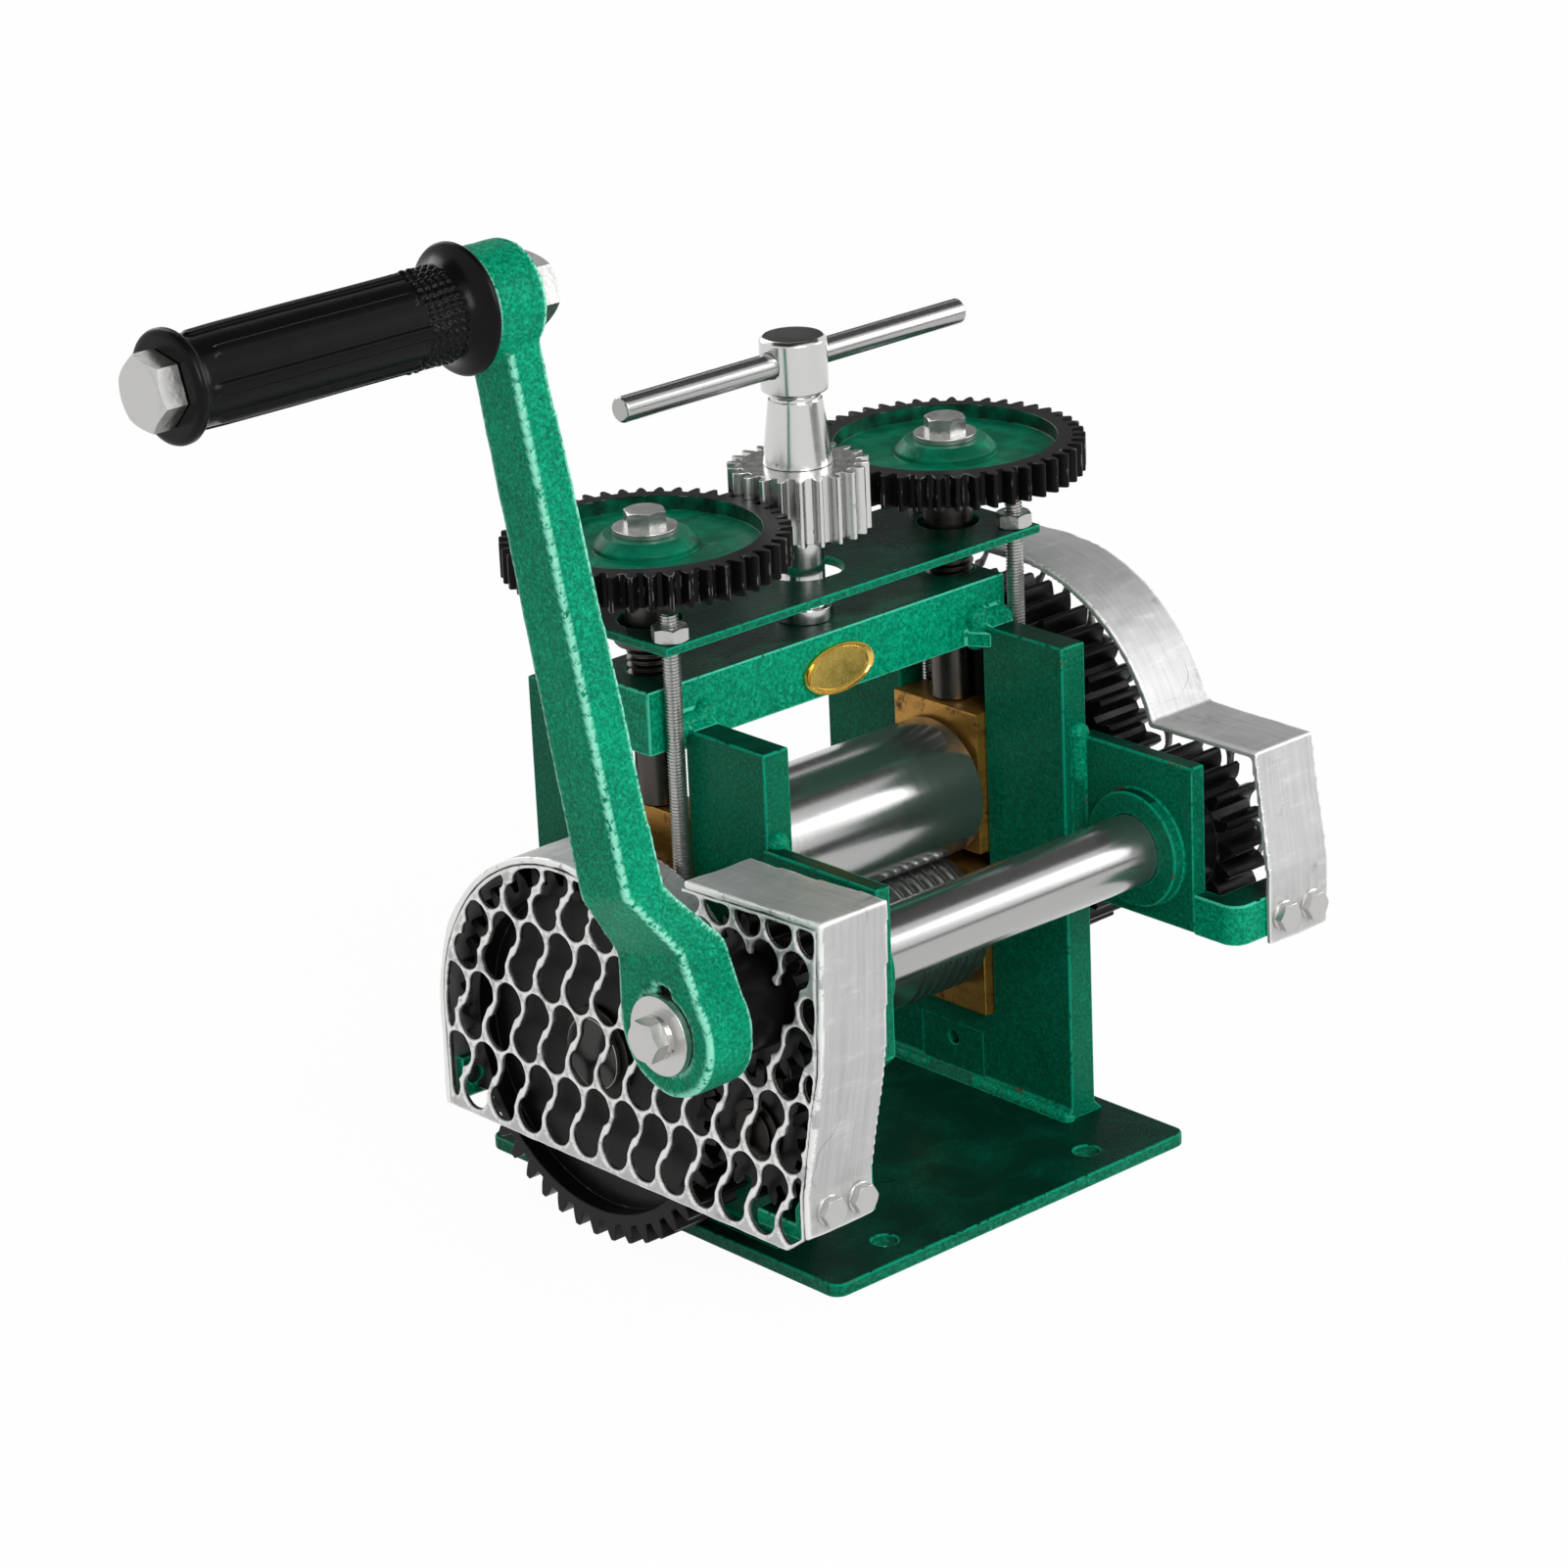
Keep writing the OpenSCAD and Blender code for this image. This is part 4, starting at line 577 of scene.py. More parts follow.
# Name, light, deep and edge highlight colour, rust, coat, flecks, roughness, skin and painted glints of each
# green; the flat and the oiled shaded green are darker copies, as painted shade
GREENS = {
    "crank green": (
        "Cast green", "green", "green_deep", "rubbed_highlight_green", 0.30, 0.02, 1400.0, 0.28, 0.30 * MM, 0.4,
    ),
    "green": (
        "Hammered green", "green", "green_deep", "green_glint", 0.30, 0.02, 1400.0, 0.28, 0.26 * MM, 0.35,
    ),
    "flat green": (
        "Flat green", "flat_green", "flat_deep", "edge_green", 0.45, 0.03, 1500.0, 0.30, 0.12 * MM, 0.16,
    ),
    "oiled shaded green": (
        "Oiled shaded green", "plate_green", "flat_deep", "edge_green", 0.30, 0.05, 1100.0, 0.24, 0.10 * MM, 0.20,
    ),
}
# Name, colour, roughness, stretch of the tool marks and dirt, and for the rollers metallic and relief
STEELS = {
    "roller steel": ("Ground roller steel", "steel", 0.19, (2600.0, 30.0, 30.0), 0.18, 0.93, 0.05),
    "spindle steel": ("Bright spindle steel", "bright", 0.17, (50.0, 50.0, 2200.0), 0.14),
    "pinion steel": ("Scuffed pinion steel", "bright", 0.26, (500.0, 500.0, 90.0), 0.42),
    "dark steel": ("Dark oily steel", "dark_steel", 0.30, (120.0, 120.0, 900.0), 0.36),
}
FINISHES = {
    "black iron": black_cast,
    "sheet": cover_sheet,
    "zinc": zinc_plate,
    "brass": block_brass,
    "gold": badge_gold,
    "rubber": grip_rubber,
}
FINISHES.update({label: partial(green_paint, *row) for label, row in GREENS.items()})
FINISHES.update({label: partial(ground_steel, *row) for label, row in STEELS.items()})
made_finishes = {}


def finish_called(name):
    """The material of that name, made the first time it is asked for."""
    if name not in made_finishes:
        made_finishes[name] = FINISHES[name]()
    return made_finishes[name]


# Mesh helpers

RECORD = frame["record"]
BODY_OF = {node: body for body, nodes in RECORD["behaviour"]["bodies"].items() for node in nodes}
FLAT_ANGLE = math.radians(0.4)
RIM_ANGLE = math.radians(60)
# A bean shaped hole is told by how far its rim reaches from its centre
BEAN_REACH = (8.6 * MM, 8.9 * MM)
WAIST_BAR = (5.1 * MM, 5.9 * MM)
HEX_STEPS = 48
CROWN_SHARE = 0.95
CHAMFER = math.radians(30)
# Profile of a thread over one pitch: place along the pitch and share of the depth
THREAD_SHAPE = ((0.0, 0.0), (0.14, 0.0), (0.46, 1.0), (0.62, 1.0), (0.94, 0.0), (1.0, 0.0))


def clamped(value):
    """The value held between 0 and 1."""
    return min(1.0, max(0.0, value))


def middle(node):
    """Centre of a node's box."""
    low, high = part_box(node)
    return (low + high) / 2


def mesh_from(name, bm):
    """Turns a bmesh into a mesh and frees it."""
    mesh = bpy.data.meshes.new(name)
    bm.to_mesh(mesh)
    bm.free()
    return mesh


def object_from(name, data):
    """A new object in the scene."""
    item = bpy.data.objects.new(name, data)
    bpy.context.scene.collection.objects.link(item)
    return item


def merged_copy(node):
    """A welded copy of a node's mesh with its flat faces joined."""
    bm = bmesh.new()
    bm.from_mesh(frame["nodes"][node].data)
    bmesh.ops.remove_doubles(bm, verts=bm.verts, dist=MERGE)
    bmesh.ops.dissolve_limit(bm, angle_limit=FLAT_ANGLE, verts=bm.verts, edges=bm.edges)
    return bm


def sharp_edges(bm, degrees):
    """Edges whose two faces meet at more than the given angle."""
    limit = math.radians(degrees)
    return [edge for edge in bm.edges if edge.is_manifold and edge.calc_face_angle() > limit]


def set_loops(loops, mark, value):
    """Writes one value of a mark on all the given loops."""
    for loop in loops:
        loop[mark] = value


def round_edges(bm, width, segments=2, degrees=30):
    """Rounds the sharp edges and marks the strips, so that rubbed edges and painted edge highlights can
    follow them.
    """
    mark = bm.loops.layers.float.new("edge")
    rounded = bmesh.ops.bevel(
        bm, geom=sharp_edges(bm, degrees), offset=width, offset_type="OFFSET", segments=segments, profile=0.5,
        affect="EDGES", clamp_overlap=False, material=-1, loop_slide=True,
    )
    for face in rounded["faces"]:
        set_loops(face.loops, mark, 1.0)
    mark_level(bm)


def mark_level(bm):
    """Marks the faces that look up, where oil and dust lie, and which the green paints darken as painted
    shade.
    """
    mark = bm.loops.layers.float.new("level")
    bm.normal_update()
    for face in bm.faces:
        if face.normal.z > 0.9:
            set_loops(face.loops, mark, 1.0)


def mark_ends(bm):
    """Marks the faces across X within 3 mm of both ends, which are dark with oil."""
    mark = bm.loops.layers.float.new("wall")
    bm.normal_update()
    low = min(vert.co.x for vert in bm.verts)
    high = max(vert.co.x for vert in bm.verts)
    for face in bm.faces:
        x = face.calc_center_median().x
        if abs(face.normal.x) > 0.95 and min(x - low, high - x) < 3 * MM:
            set_loops(face.loops, mark, 1.0)


def mark_corners(bm):
    """Marks outward corners by how sharply the skin bends there, fully at 11 degrees."""
    mark = bm.loops.layers.float.new("edge")
    bm.normal_update()
    for vert in bm.verts:
        bends = [edge.calc_face_angle_signed(0.0) for edge in vert.link_edges]
        bend = sum(bends) / max(1, len(bends))
        set_loops(vert.link_loops, mark, clamped((bend - math.radians(5)) / math.radians(6)))


def mark_walls(bm):
    """Marks the walls of holes that run along X."""
    mark = bm.loops.layers.float.new("wall")
    bm.normal_update()
    for vert in bm.verts:
        set_loops(vert.link_loops, mark, clamped((0.80 - abs(vert.normal.x)) / 0.25))


def linked_rows(links):
    """Groups of linked corners, from a table of the corners that each one is linked to."""
    rows = []
    seen = set()
    for first in links:
        if first in seen:
            continue
        seen.add(first)
        row = [first]
        for vert in row:
            fresh = [other for other in links[vert] if other not in seen]
            seen.update(fresh)
            row.extend(fresh)
        rows.append(row)
    return rows


def island_boxes(node):
    """Lowest and highest corner of each solid of a node."""
    bm = merged_copy(node)
    links = {vert: [edge.other_vert(vert) for edge in vert.link_edges] for vert in bm.verts}
    boxes = []
    for row in linked_rows(links):
        low = Vector([min(vert.co[axis] for vert in row) for axis in range(3)])
        high = Vector([max(vert.co[axis] for vert in row) for axis in range(3)])
        boxes.append((low, high))
    bm.free()
    return sorted(boxes, key=lambda corners: tuple(corners[0]))


def new_piece(name, bm, material, body, replaced=(), smooth_below=38):
    """Turns a bmesh into a piece of the mill that rides on a body."""
    limit = math.radians(smooth_below)
    for face in bm.faces:
        face.smooth = True
    for edge in bm.edges:
        edge.smooth = not edge.is_manifold or edge.calc_face_angle() < limit
    mesh = mesh_from(name, bm)
    mesh.materials.append(material)
    piece = object_from(name, mesh)
    level = piece.modifiers.new("Level normals", "WEIGHTED_NORMAL")
    level.keep_sharp = True
    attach(piece, body)
    if replaced:
        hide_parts(*replaced)
    return piece


def stand_in(node, bm, finish, smooth_below=38):
    """A piece in the place of a node, on the node's body."""
    name = node + "_finish"
    return new_piece(name, bm, finish_called(finish), BODY_OF[node], [node], smooth_below)


def dress(node, finish, width, segments=2, degrees=30, oily_ends=False):
    """Stands a softened copy in the place of a node."""
    bm = merged_copy(node)
    round_edges(bm, width, segments, degrees)
    if oily_ends:
        mark_ends(bm)
    stand_in(node, bm, finish)


def hole_rims(bm, level):
    """Closed rows of corners where holes along X open on the face at the given X."""
    links = {}
    for edge in bm.edges:
        at_level = all(abs(vert.co.x - level) < 0.02 * MM for vert in edge.verts)
        if at_level and edge.is_manifold and edge.calc_face_angle() > RIM_ANGLE:
            for vert in edge.verts:
                links.setdefault(vert, []).append(edge.other_vert(vert))
    return [[vert.co.copy() for vert in row] for row in linked_rows(links)]


def waist_cutters(node):
    """Bars that take the cusps off the waists of the bean shaped holes."""
    bm = merged_copy(node)
    low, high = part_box(node)
    outer = low.x if node.startswith("left") else high.x
    span = Matrix.Diagonal((4 * (high.x - low.x), *WAIST_BAR, 1))
    cutters = bmesh.new()
    for rim in hole_rims(bm, outer):
        centre = sum(rim, Vector()) / len(rim)
        tip = max(rim, key=lambda point: (point - centre).length)
        if not BEAN_REACH[0] < (tip - centre).length < BEAN_REACH[1]:
            continue
        along = (tip - centre).normalized()
        turn = Matrix((X_AXIS, along, X_AXIS.cross(along))).transposed().to_4x4()
        bmesh.ops.create_cube(cutters, size=1.0, matrix=Matrix.Translation(centre) @ turn @ span)
    bm.free()
    return object_from(node + "_waists", mesh_from(node + "_waists", cutters))


def cast_copy(node, finish, grain, wobble, smoothing, waves, pierced=False, thinning=0.0):
    """Stands a copy with softened corners and an uneven skin in the place of a node."""
    bm = merged_copy(node)
    bmesh.ops.triangulate(bm, faces=bm.faces)
    mesh = mesh_from(node + "_skin", bm)
    blank = object_from(node + "_skin", mesh)
    if pierced:
        waists = waist_cutters(node)
        cut = blank.modifiers.new("Waists", "BOOLEAN")
        cut.operation = "DIFFERENCE"
        cut.solver = "MANIFOLD"
        cut.object = waists
    skin = blank.modifiers.new("Skin", "REMESH")
    skin.mode = "VOXEL"
    skin.voxel_size = grain
    skinned = bpy.data.meshes.new_from_object(blank.evaluated_get(bpy.context.evaluated_depsgraph_get()))
    bm = bmesh.new()
    bm.from_mesh(skinned)
    bpy.data.objects.remove(blank)
    if pierced:
        bpy.data.objects.remove(waists)
    bpy.data.meshes.remove(mesh)
    bpy.data.meshes.remove(skinned)
    for _ in range(smoothing):
        bmesh.ops.smooth_vert(
            bm, verts=bm.verts, factor=0.5, use_axis_x=True, use_axis_y=True, use_axis_z=True
        )
    mark_corners(bm)
    if pierced:
        mark_walls(bm)
        for vert in bm.verts:
            vert.co -= vert.normal * thinning * (1 - abs(vert.normal.x))
        bm.normal_update()
    for vert in bm.verts:
        vert.co += vert.normal * wobble * noise.fractal(vert.co * waves, 1.0, 2.0, 3)
    stand_in(node, bm, finish, smooth_below=80)


def turned(profile, steps=64):
    """A solid of revolution about Z from pairs of radius and height."""
    bm = bmesh.new()
    verts = [bm.verts.new((radius, 0, height)) for radius, height in profile]
    edges = [bm.edges.new(pair) for pair in zip(verts, verts[1:])]
    bmesh.ops.spin(
        bm, geom=verts + edges, angle=FULL_TURN, steps=steps, axis=Z_AXIS, cent=(0, 0, 0), use_merge=True
    )
    bmesh.ops.remove_doubles(bm, verts=bm.verts, dist=MERGE)
    bmesh.ops.recalc_face_normals(bm, faces=bm.faces)
    return bm


def add_mesh(bm, other):
    """Adds another bmesh to the first and frees it."""
    mesh = mesh_from("passing", other)
    bm.from_mesh(mesh)
    bpy.data.meshes.remove(mesh)


def facing(axis, corner):
    """Rotation that turns +Z to the axis and +X to the corner direction."""
    up = Vector(axis).normalized()
    side = Vector(corner).normalized()
    return Matrix((side, up.cross(side), up)).transposed().to_4x4()


def raised(bm, faces):
    """Extrudes faces, removes the ones they grew from, and gives the new corners and faces."""
    grown = bmesh.ops.extrude_face_region(bm, geom=faces)["geom"]
    bmesh.ops.delete(bm, geom=[face for face in faces if face.is_valid], context="FACES_ONLY")
    verts = [item for item in grown if isinstance(item, bmesh.types.BMVert)]
    return verts, [item for item in grown if isinstance(item, bmesh.types.BMFace)]


def close_foot(bm):
    """Fills the open rim at the foot of an extruded face."""
    rim = [edge for edge in bm.edges if edge.is_boundary]
    if rim:
        bmesh.ops.edgeloop_fill(bm, edges=rim)


def hex_radius(angle, flat):
    """Distance from the middle to a hexagon's edge, with a corner on the X axis."""
    return flat / 2 / math.cos((angle % math.radians(60)) - math.radians(30))


def hex_solid(flat, height, both_ends=False):
    """A hexagonal head or nut with its corners turned off, standing on the XY plane."""
    bm = bmesh.new()
    made = bmesh.ops.create_circle(bm, cap_ends=True, segments=HEX_STEPS, radius=flat / 2)
    crown = flat / 2 * CROWN_SHARE

    def lay(verts, radius_at, height_at):
        for vert in verts:
            angle = math.atan2(vert.co.y, vert.co.x) % FULL_TURN
            radius = radius_at(angle)
            vert.co = Vector((radius * math.cos(angle), radius * math.sin(angle), height_at(radius)))

    def corner(angle):
        return hex_radius(angle, flat)

    def fall(radius):
        return max(0.0, radius - crown) * math.tan(CHAMFER)

    lay(made["verts"], lambda angle: crown if both_ends else corner(angle), lambda radius: 0.0)
    faces = list(bm.faces)
    if both_ends:
        verts, faces = raised(bm, faces)
        lay(verts, corner, fall)
    verts, faces = raised(bm, faces)
    lay(verts, corner, lambda radius: height - fall(radius))
    verts, faces = raised(bm, faces)
    lay(verts, lambda angle: crown, lambda radius: height)
    close_foot(bm)
    bmesh.ops.remove_doubles(bm, verts=bm.verts, dist=MERGE)
    bmesh.ops.recalc_face_normals(bm, faces=bm.faces)
    return bm


def thread(radius, pitch, depth, low, high, steps):
    """A helical thread about Z, cut square at both ends."""
    turns = math.ceil((high - low) / pitch) + 2
    bm = bmesh.new()
    verts = []
    for along, rise in THREAD_SHAPE:
        verts.append(bm.verts.new((radius - depth * (1 - rise), 0, low - pitch + along * pitch)))
    edges = [bm.edges.new(pair) for pair in zip(verts, verts[1:])]
    bmesh.ops.spin(
        bm, geom=verts + edges, angle=FULL_TURN * turns, steps=steps * turns, axis=Z_AXIS, cent=(0, 0, 0),
        dvec=(0, 0, pitch / steps), use_merge=False,
    )
    bmesh.ops.remove_doubles(bm, verts=bm.verts, dist=MERGE)
    for height, normal in ((low, -Z_AXIS), (high, Z_AXIS)):
        geom = list(bm.verts) + list(bm.edges) + list(bm.faces)
        bmesh.ops.bisect_plane(bm, geom=geom, plane_co=(0, 0, height), plane_no=normal, clear_outer=True)
        rim = [edge for edge in bm.edges if edge.is_boundary]
        near = [edge for edge in rim if all(abs(vert.co.z - height) < MERGE for vert in edge.verts)]
        bmesh.ops.edgeloop_fill(bm, edges=near)
    bmesh.ops.recalc_face_normals(bm, faces=bm.faces)
    return bm


def run(operator):
    """Calls an operator by its bl_idname."""
    family, name = operator.bl_idname.split(".")
    result = getattr(getattr(bpy.ops, family), name)()
    if "FINISHED" not in result:
        raise RuntimeError(operator.bl_idname + " did not finish")


# Pieces


class PaintedPlates(bpy.types.Operator):
    """Base, uprights, slot fillers, yoke, brackets, lugs and lifting plate"""

    bl_idname = "mill.painted_plates"
    bl_label = "Painted plates"

    # The flat and level plates take the darker copies of the emerald paint, as painted shade
    plates = {
        "flat green": (
            "left_upright", "right_upright", "left_slot_filler", "right_slot_filler",
            "left_shaft_bracket", "right_shaft_bracket",
        ),
        "green": ("left_cover_lugs", "right_cover_lugs", "top_yoke"),
        "oiled shaded green": ("base_plate", "lifting_plate"),
    }

    def execute(self, context):
        for finish, nodes in self.plates.items():
            for node in nodes:
                dress(node, finish, context.scene.mill_edges.plate)
        return {"FINISHED"}


class WeldBeads(bpy.types.Operator):
    """Lumpy beads under the paint, where the plates of the frame meet"""

    bl_idname = "mill.weld_beads"
    bl_label = "Weld beads"

    plate = 7 * MM
    yoke_inset = 5 * MM
    bracket_inset = 4 * MM
    yoke_width = 6.0 * MM
    top_width = 5.2 * MM
    foot_width = 3.8 * MM
    bracket_width = 5.0 * MM
    spacing = 0.42
    jitter = 0.10
    unevenness = 0.16

    def bead(self, bm, start, end, width, seed):
        """A row of uneven drops from one point to another."""
        start = Vector(start)
        end = Vector(end)
        drops = max(2, round((end - start).length / (self.spacing * width)))
        for drop in range(drops + 1):
            place = start.lerp(end, drop / drops)
            jitter = noise.noise_vector(Vector((drop * 1.7, seed, 0.3))) * self.jitter * width
            swell = self.unevenness * noise.noise(Vector((drop * 0.9, seed, 5.1)))
            size = width / 2 * (1.0 + swell)
            placing = Matrix.Translation(place + jitter) @ Matrix.Diagonal((size, size, size, 1))
            bmesh.ops.create_icosphere(bm, subdivisions=2, radius=1.0, matrix=placing)

    def execute(self, context):
        _, base_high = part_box("base_plate")
        yoke_low, yoke_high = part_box("top_yoke")
        screw = middle("right_pressure_screw")
        upright_low, upright_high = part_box("right_upright")
        _, bracket_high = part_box("right_shaft_bracket")
        beside = (upright_high.x - upright_low.x - self.plate) / 2
        inner = upright_low.x + beside
        outer = upright_high.x - beside
        half_yoke = (yoke_high.y - yoke_low.y) / 2 - self.yoke_inset
        seam = bracket_high.x - self.bracket_inset
        front = upright_low.y - 0.2 * MM
        top = upright_high.z + 0.3 * MM
        foot = base_high.z + 0.3 * MM
        bm = bmesh.new()
        for side in (-1, 1):
            for face in (-1, 1):
                x = side * inner
                y = screw.y + face * half_yoke
                self.bead(
                    bm, (x, y, yoke_low.z + 1.5 * MM), (x, y, upright_high.z + 1.6 * MM), self.yoke_width,
                    side + 3 * face,
                )
                y += face * 0.8 * MM
                self.bead(
                    bm, (side * (inner + 0.5 * MM), y, top), (side * (outer - 0.5 * MM), y, top),
                    self.top_width, side - 2 * face,
                )
                x = side * (inner - 0.4 * MM)
                self.bead(
                    bm, (x, screw.y + face * 35.5 * MM, foot), (x, screw.y + face * 8 * MM, foot),
                    self.foot_width, side * face + 9,
                )
            x = side * seam
            self.bead(
                bm, (x, front, bracket_high.z - 9 * MM), (x, front, bracket_high.z + 0.2 * MM),
                self.bracket_width, side + 21,
            )
        piece = new_piece("weld_beads", bm, finish_called("green"), "frame", smooth_below=80)
        fuse = piece.modifiers.new("Fuse", "REMESH")
        fuse.mode = "VOXEL"
        fuse.voxel_size = 0.35 * MM
        fuse.use_smooth_shade = True
        soften = piece.modifiers.new("Soften", "SMOOTH")
        soften.iterations = 6
        piece.modifiers.remove(piece.modifiers["Level normals"])
        return {"FINISHED"}


class GearCovers(bpy.types.Operator):
    """Bent sheet bands and pierced faces of both gear covers"""

    bl_idname = "mill.gear_covers"
    bl_label = "Gear covers"

    def execute(self, context):
        edges = context.scene.mill_edges
        for side in ("left", "right"):
            grille = side + "_cover_grille"
            cast_copy(
                grille, "sheet", edges.sheet_grain, 0.10 * MM, smoothing=5, waves=220.0, pierced=True,
                thinning=0.10 * MM,
            )
            cast_copy(
                side + "_cover_band", "sheet", edges.sheet_grain * 1.1, edges.sheet_wobble, smoothing=1,
                waves=70.0,
            )
        return {"FINISHED"}


class HexFasteners(bpy.types.Operator):
    """Hexagon heads and nuts with turned-off corners, and the washers under them"""

    bl_idname = "mill.hex_fasteners"
    bl_label = "Hex fasteners"

    small_flat = 8 * MM
    small_shank = 2.45 * MM
    crank_head = 3.2 * MM
    screw_head = 3.6 * MM
    handle_flat = 13 * MM
    handle_shank = 4 * MM
    handle_head = 5.3 * MM
    handle_lean = math.radians(12.0)
    rod_nut_flat = 7 * MM
    bevel_share = 0.15
    shank_steps = 32
    flange_steps = 48
    cover_flat_share = 0.80
    cover_shank_share = 0.35
    cover_reach = 2.8 * MM
    cover_head = 2.6 * MM
    # Radius as a share of the flat, and height
    cover_flange = ((0, 0), (0.58, 0), (0.58, 0.5 * MM), (0.5, 0.8 * MM), (0, 0.8 * MM))
    rim = 0.2 * MM

    def head(self, flat, height, axis, corner, seat):
        """A head whose seat is at the given point and whose top points along the axis."""
        bm = hex_solid(flat, height)
        bm.transform(Matrix.Translation(seat) @ facing(axis, corner))
        return bm

    def shank(self, radius, start, end):
        """A plain shank with a small end bevel."""
        reach = (end - start).length
        bevel = radius * self.bevel_share
        profile = [(0, 0), (radius, 0), (radius, reach - bevel), (radius - bevel, reach), (0, reach)]
        bm = turned(profile, self.shank_steps)
        direction = (end - start).normalized()
        corner = Z_AXIS if abs(direction.z) < 0.5 else X_AXIS
        bm.transform(Matrix.Translation(start) @ facing(direction, corner))
        return bm

    def bolt(self, node, flat, head, shank, axis, corner):
        """A bolt that fills the node's box, with its head at the end to which the axis points."""
        low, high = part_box(node)
        seat = (low + high) / 2
        tip = seat.copy()
        along = 0 if axis.x else 2
        near, far = (high, low) if axis[along] > 0 else (low, high)
        seat[along] = near[along] - axis[along] * head
        tip[along] = far[along]
        bm = self.head(flat, head, axis, corner, seat)
        add_mesh(bm, self.shank(shank, seat, tip))
        stand_in(node, bm, "zinc")

    def cover_bolts(self):
        """The small flanged bolts at the front and back of both covers."""
        bm = bmesh.new()
        middle_y = middle("base_plate").y
        for low, high in island_boxes("cover_bolts"):
            centre = (low + high) / 2
            outward = -1 if centre.y < middle_y else 1
            flat = self.cover_flat_share * min(high.z - low.z, high.x - low.x)
            outer, inner = (low.y, high.y) if outward < 0 else (high.y, low.y)
            seat = Vector((centre.x, outer - outward * self.cover_reach, centre.z))
            profile = [(share * flat, height) for share, height in self.cover_flange]
            flange = turned(profile, self.flange_steps)
            flange.transform(Matrix.Translation(seat) @ facing(Y_AXIS * outward, X_AXIS))
            add_mesh(bm, flange)
            add_mesh(bm, self.head(flat, self.cover_head, Y_AXIS * outward, X_AXIS, seat))
            tip = Vector((centre.x, inner, centre.z))
            add_mesh(bm, self.shank(flat * self.cover_shank_share, seat, tip))
        stand_in("cover_bolts", bm, "zinc")

    def handle_nut(self, corner):
        """The nut on the inner side of the crank arm."""
        low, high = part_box("handle_nut")
        centre = (low + high) / 2
        bm = hex_solid(self.handle_flat, high.x - low.x, both_ends=True)
        bm.transform(Matrix.Translation((low.x, centre.y, centre.z)) @ facing(X_AXIS, corner))
        stand_in("handle_nut", bm, "zinc")

    def rod_nuts(self):
        """The nuts on the four lifting rods."""
        bm = bmesh.new()
        for low, high in island_boxes("rod_nuts"):
            nut = hex_solid(self.rod_nut_flat, high.z - low.z, both_ends=True)
            nut.transform(Matrix.Translation(((low.x + high.x) / 2, (low.y + high.y) / 2, low.z)))
            add_mesh(bm, nut)
        stand_in("rod_nuts", bm, "zinc")

    def execute(self, context):
        corner = Vector((0, math.cos(self.handle_lean), math.sin(self.handle_lean)))
        self.cover_bolts()
        self.bolt("crank_bolt", self.small_flat, self.crank_head, self.small_shank, -X_AXIS, Y_AXIS)
        self.bolt("handle_bolt", self.handle_flat, self.handle_head, self.handle_shank, -X_AXIS, corner)
        self.handle_nut(corner)
        for node in ("left_screw_bolt", "right_screw_bolt"):
            self.bolt(node, self.small_flat, self.screw_head, self.small_shank, Z_AXIS, X_AXIS)
        self.rod_nuts()
        for node in ("crank_washer", "left_screw_washer", "right_screw_washer"):
            dress(node, "zinc", self.rim)
        dress("crank_spacer", "black iron", self.rim)
        return {"FINISHED"}


class BearingBlocks(bpy.types.Operator):
    """Brass bearing blocks and thrust washers"""

    bl_idname = "mill.bearing_blocks"
    bl_label = "Bearing blocks"

    def execute(self, context):
        for node in ("left_lower_block", "right_lower_block", "left_upper_block", "right_upper_block"):
            dress(node, "brass", context.scene.mill_edges.plate)
        for node in ("lower_thrust_washers", "upper_thrust_washers"):
            dress(node, "brass", 0.15 * MM)
        return {"FINISHED"}


class BlackGears(bpy.types.Operator):
    """Roller gears, drive pinions and idler"""

    bl_idname = "mill.black_gears"
    bl_label = "Black gears"

    nodes = (
        "lower_roller_gear", "upper_roller_gear", "left_drive_pinion", "right_drive_pinion",
        "idler_gear",
    )

    def execute(self, context):
        for node in self.nodes:
            dress(node, "black iron", context.scene.mill_edges.gear, segments=1)
        return {"FINISHED"}


class ScrewGears(bpy.types.Operator):
    """Two screw gears with black teeth and a green web"""

    bl_idname = "mill.screw_gears"
    bl_label = "Screw gears"

    web_share = 0.80

    def execute(self, context):
        for side in ("left", "right"):
            node = side + "_screw_gear"
            low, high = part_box(node)
            label = side + " screw gear paint"
            web_radius = (high.x - low.x) / 2 * self.web_share
            made_finishes[label] = screw_gear_finish(label, (low + high) / 2, web_radius)
            dress(node, label, context.scene.mill_edges.gear, segments=1)
        return {"FINISHED"}


class RollersAndShaft(bpy.types.Operator):
    """Ground rollers and the drive shaft"""

    bl_idname = "mill.rollers_and_shaft"
    bl_label = "Rollers and shaft"

    def execute(self, context):
        for node in ("lower_roller", "upper_roller", "drive_shaft"):
            dress(node, "roller steel", context.scene.mill_edges.turned, degrees=40, oily_ends=True)
        return {"FINISHED"}


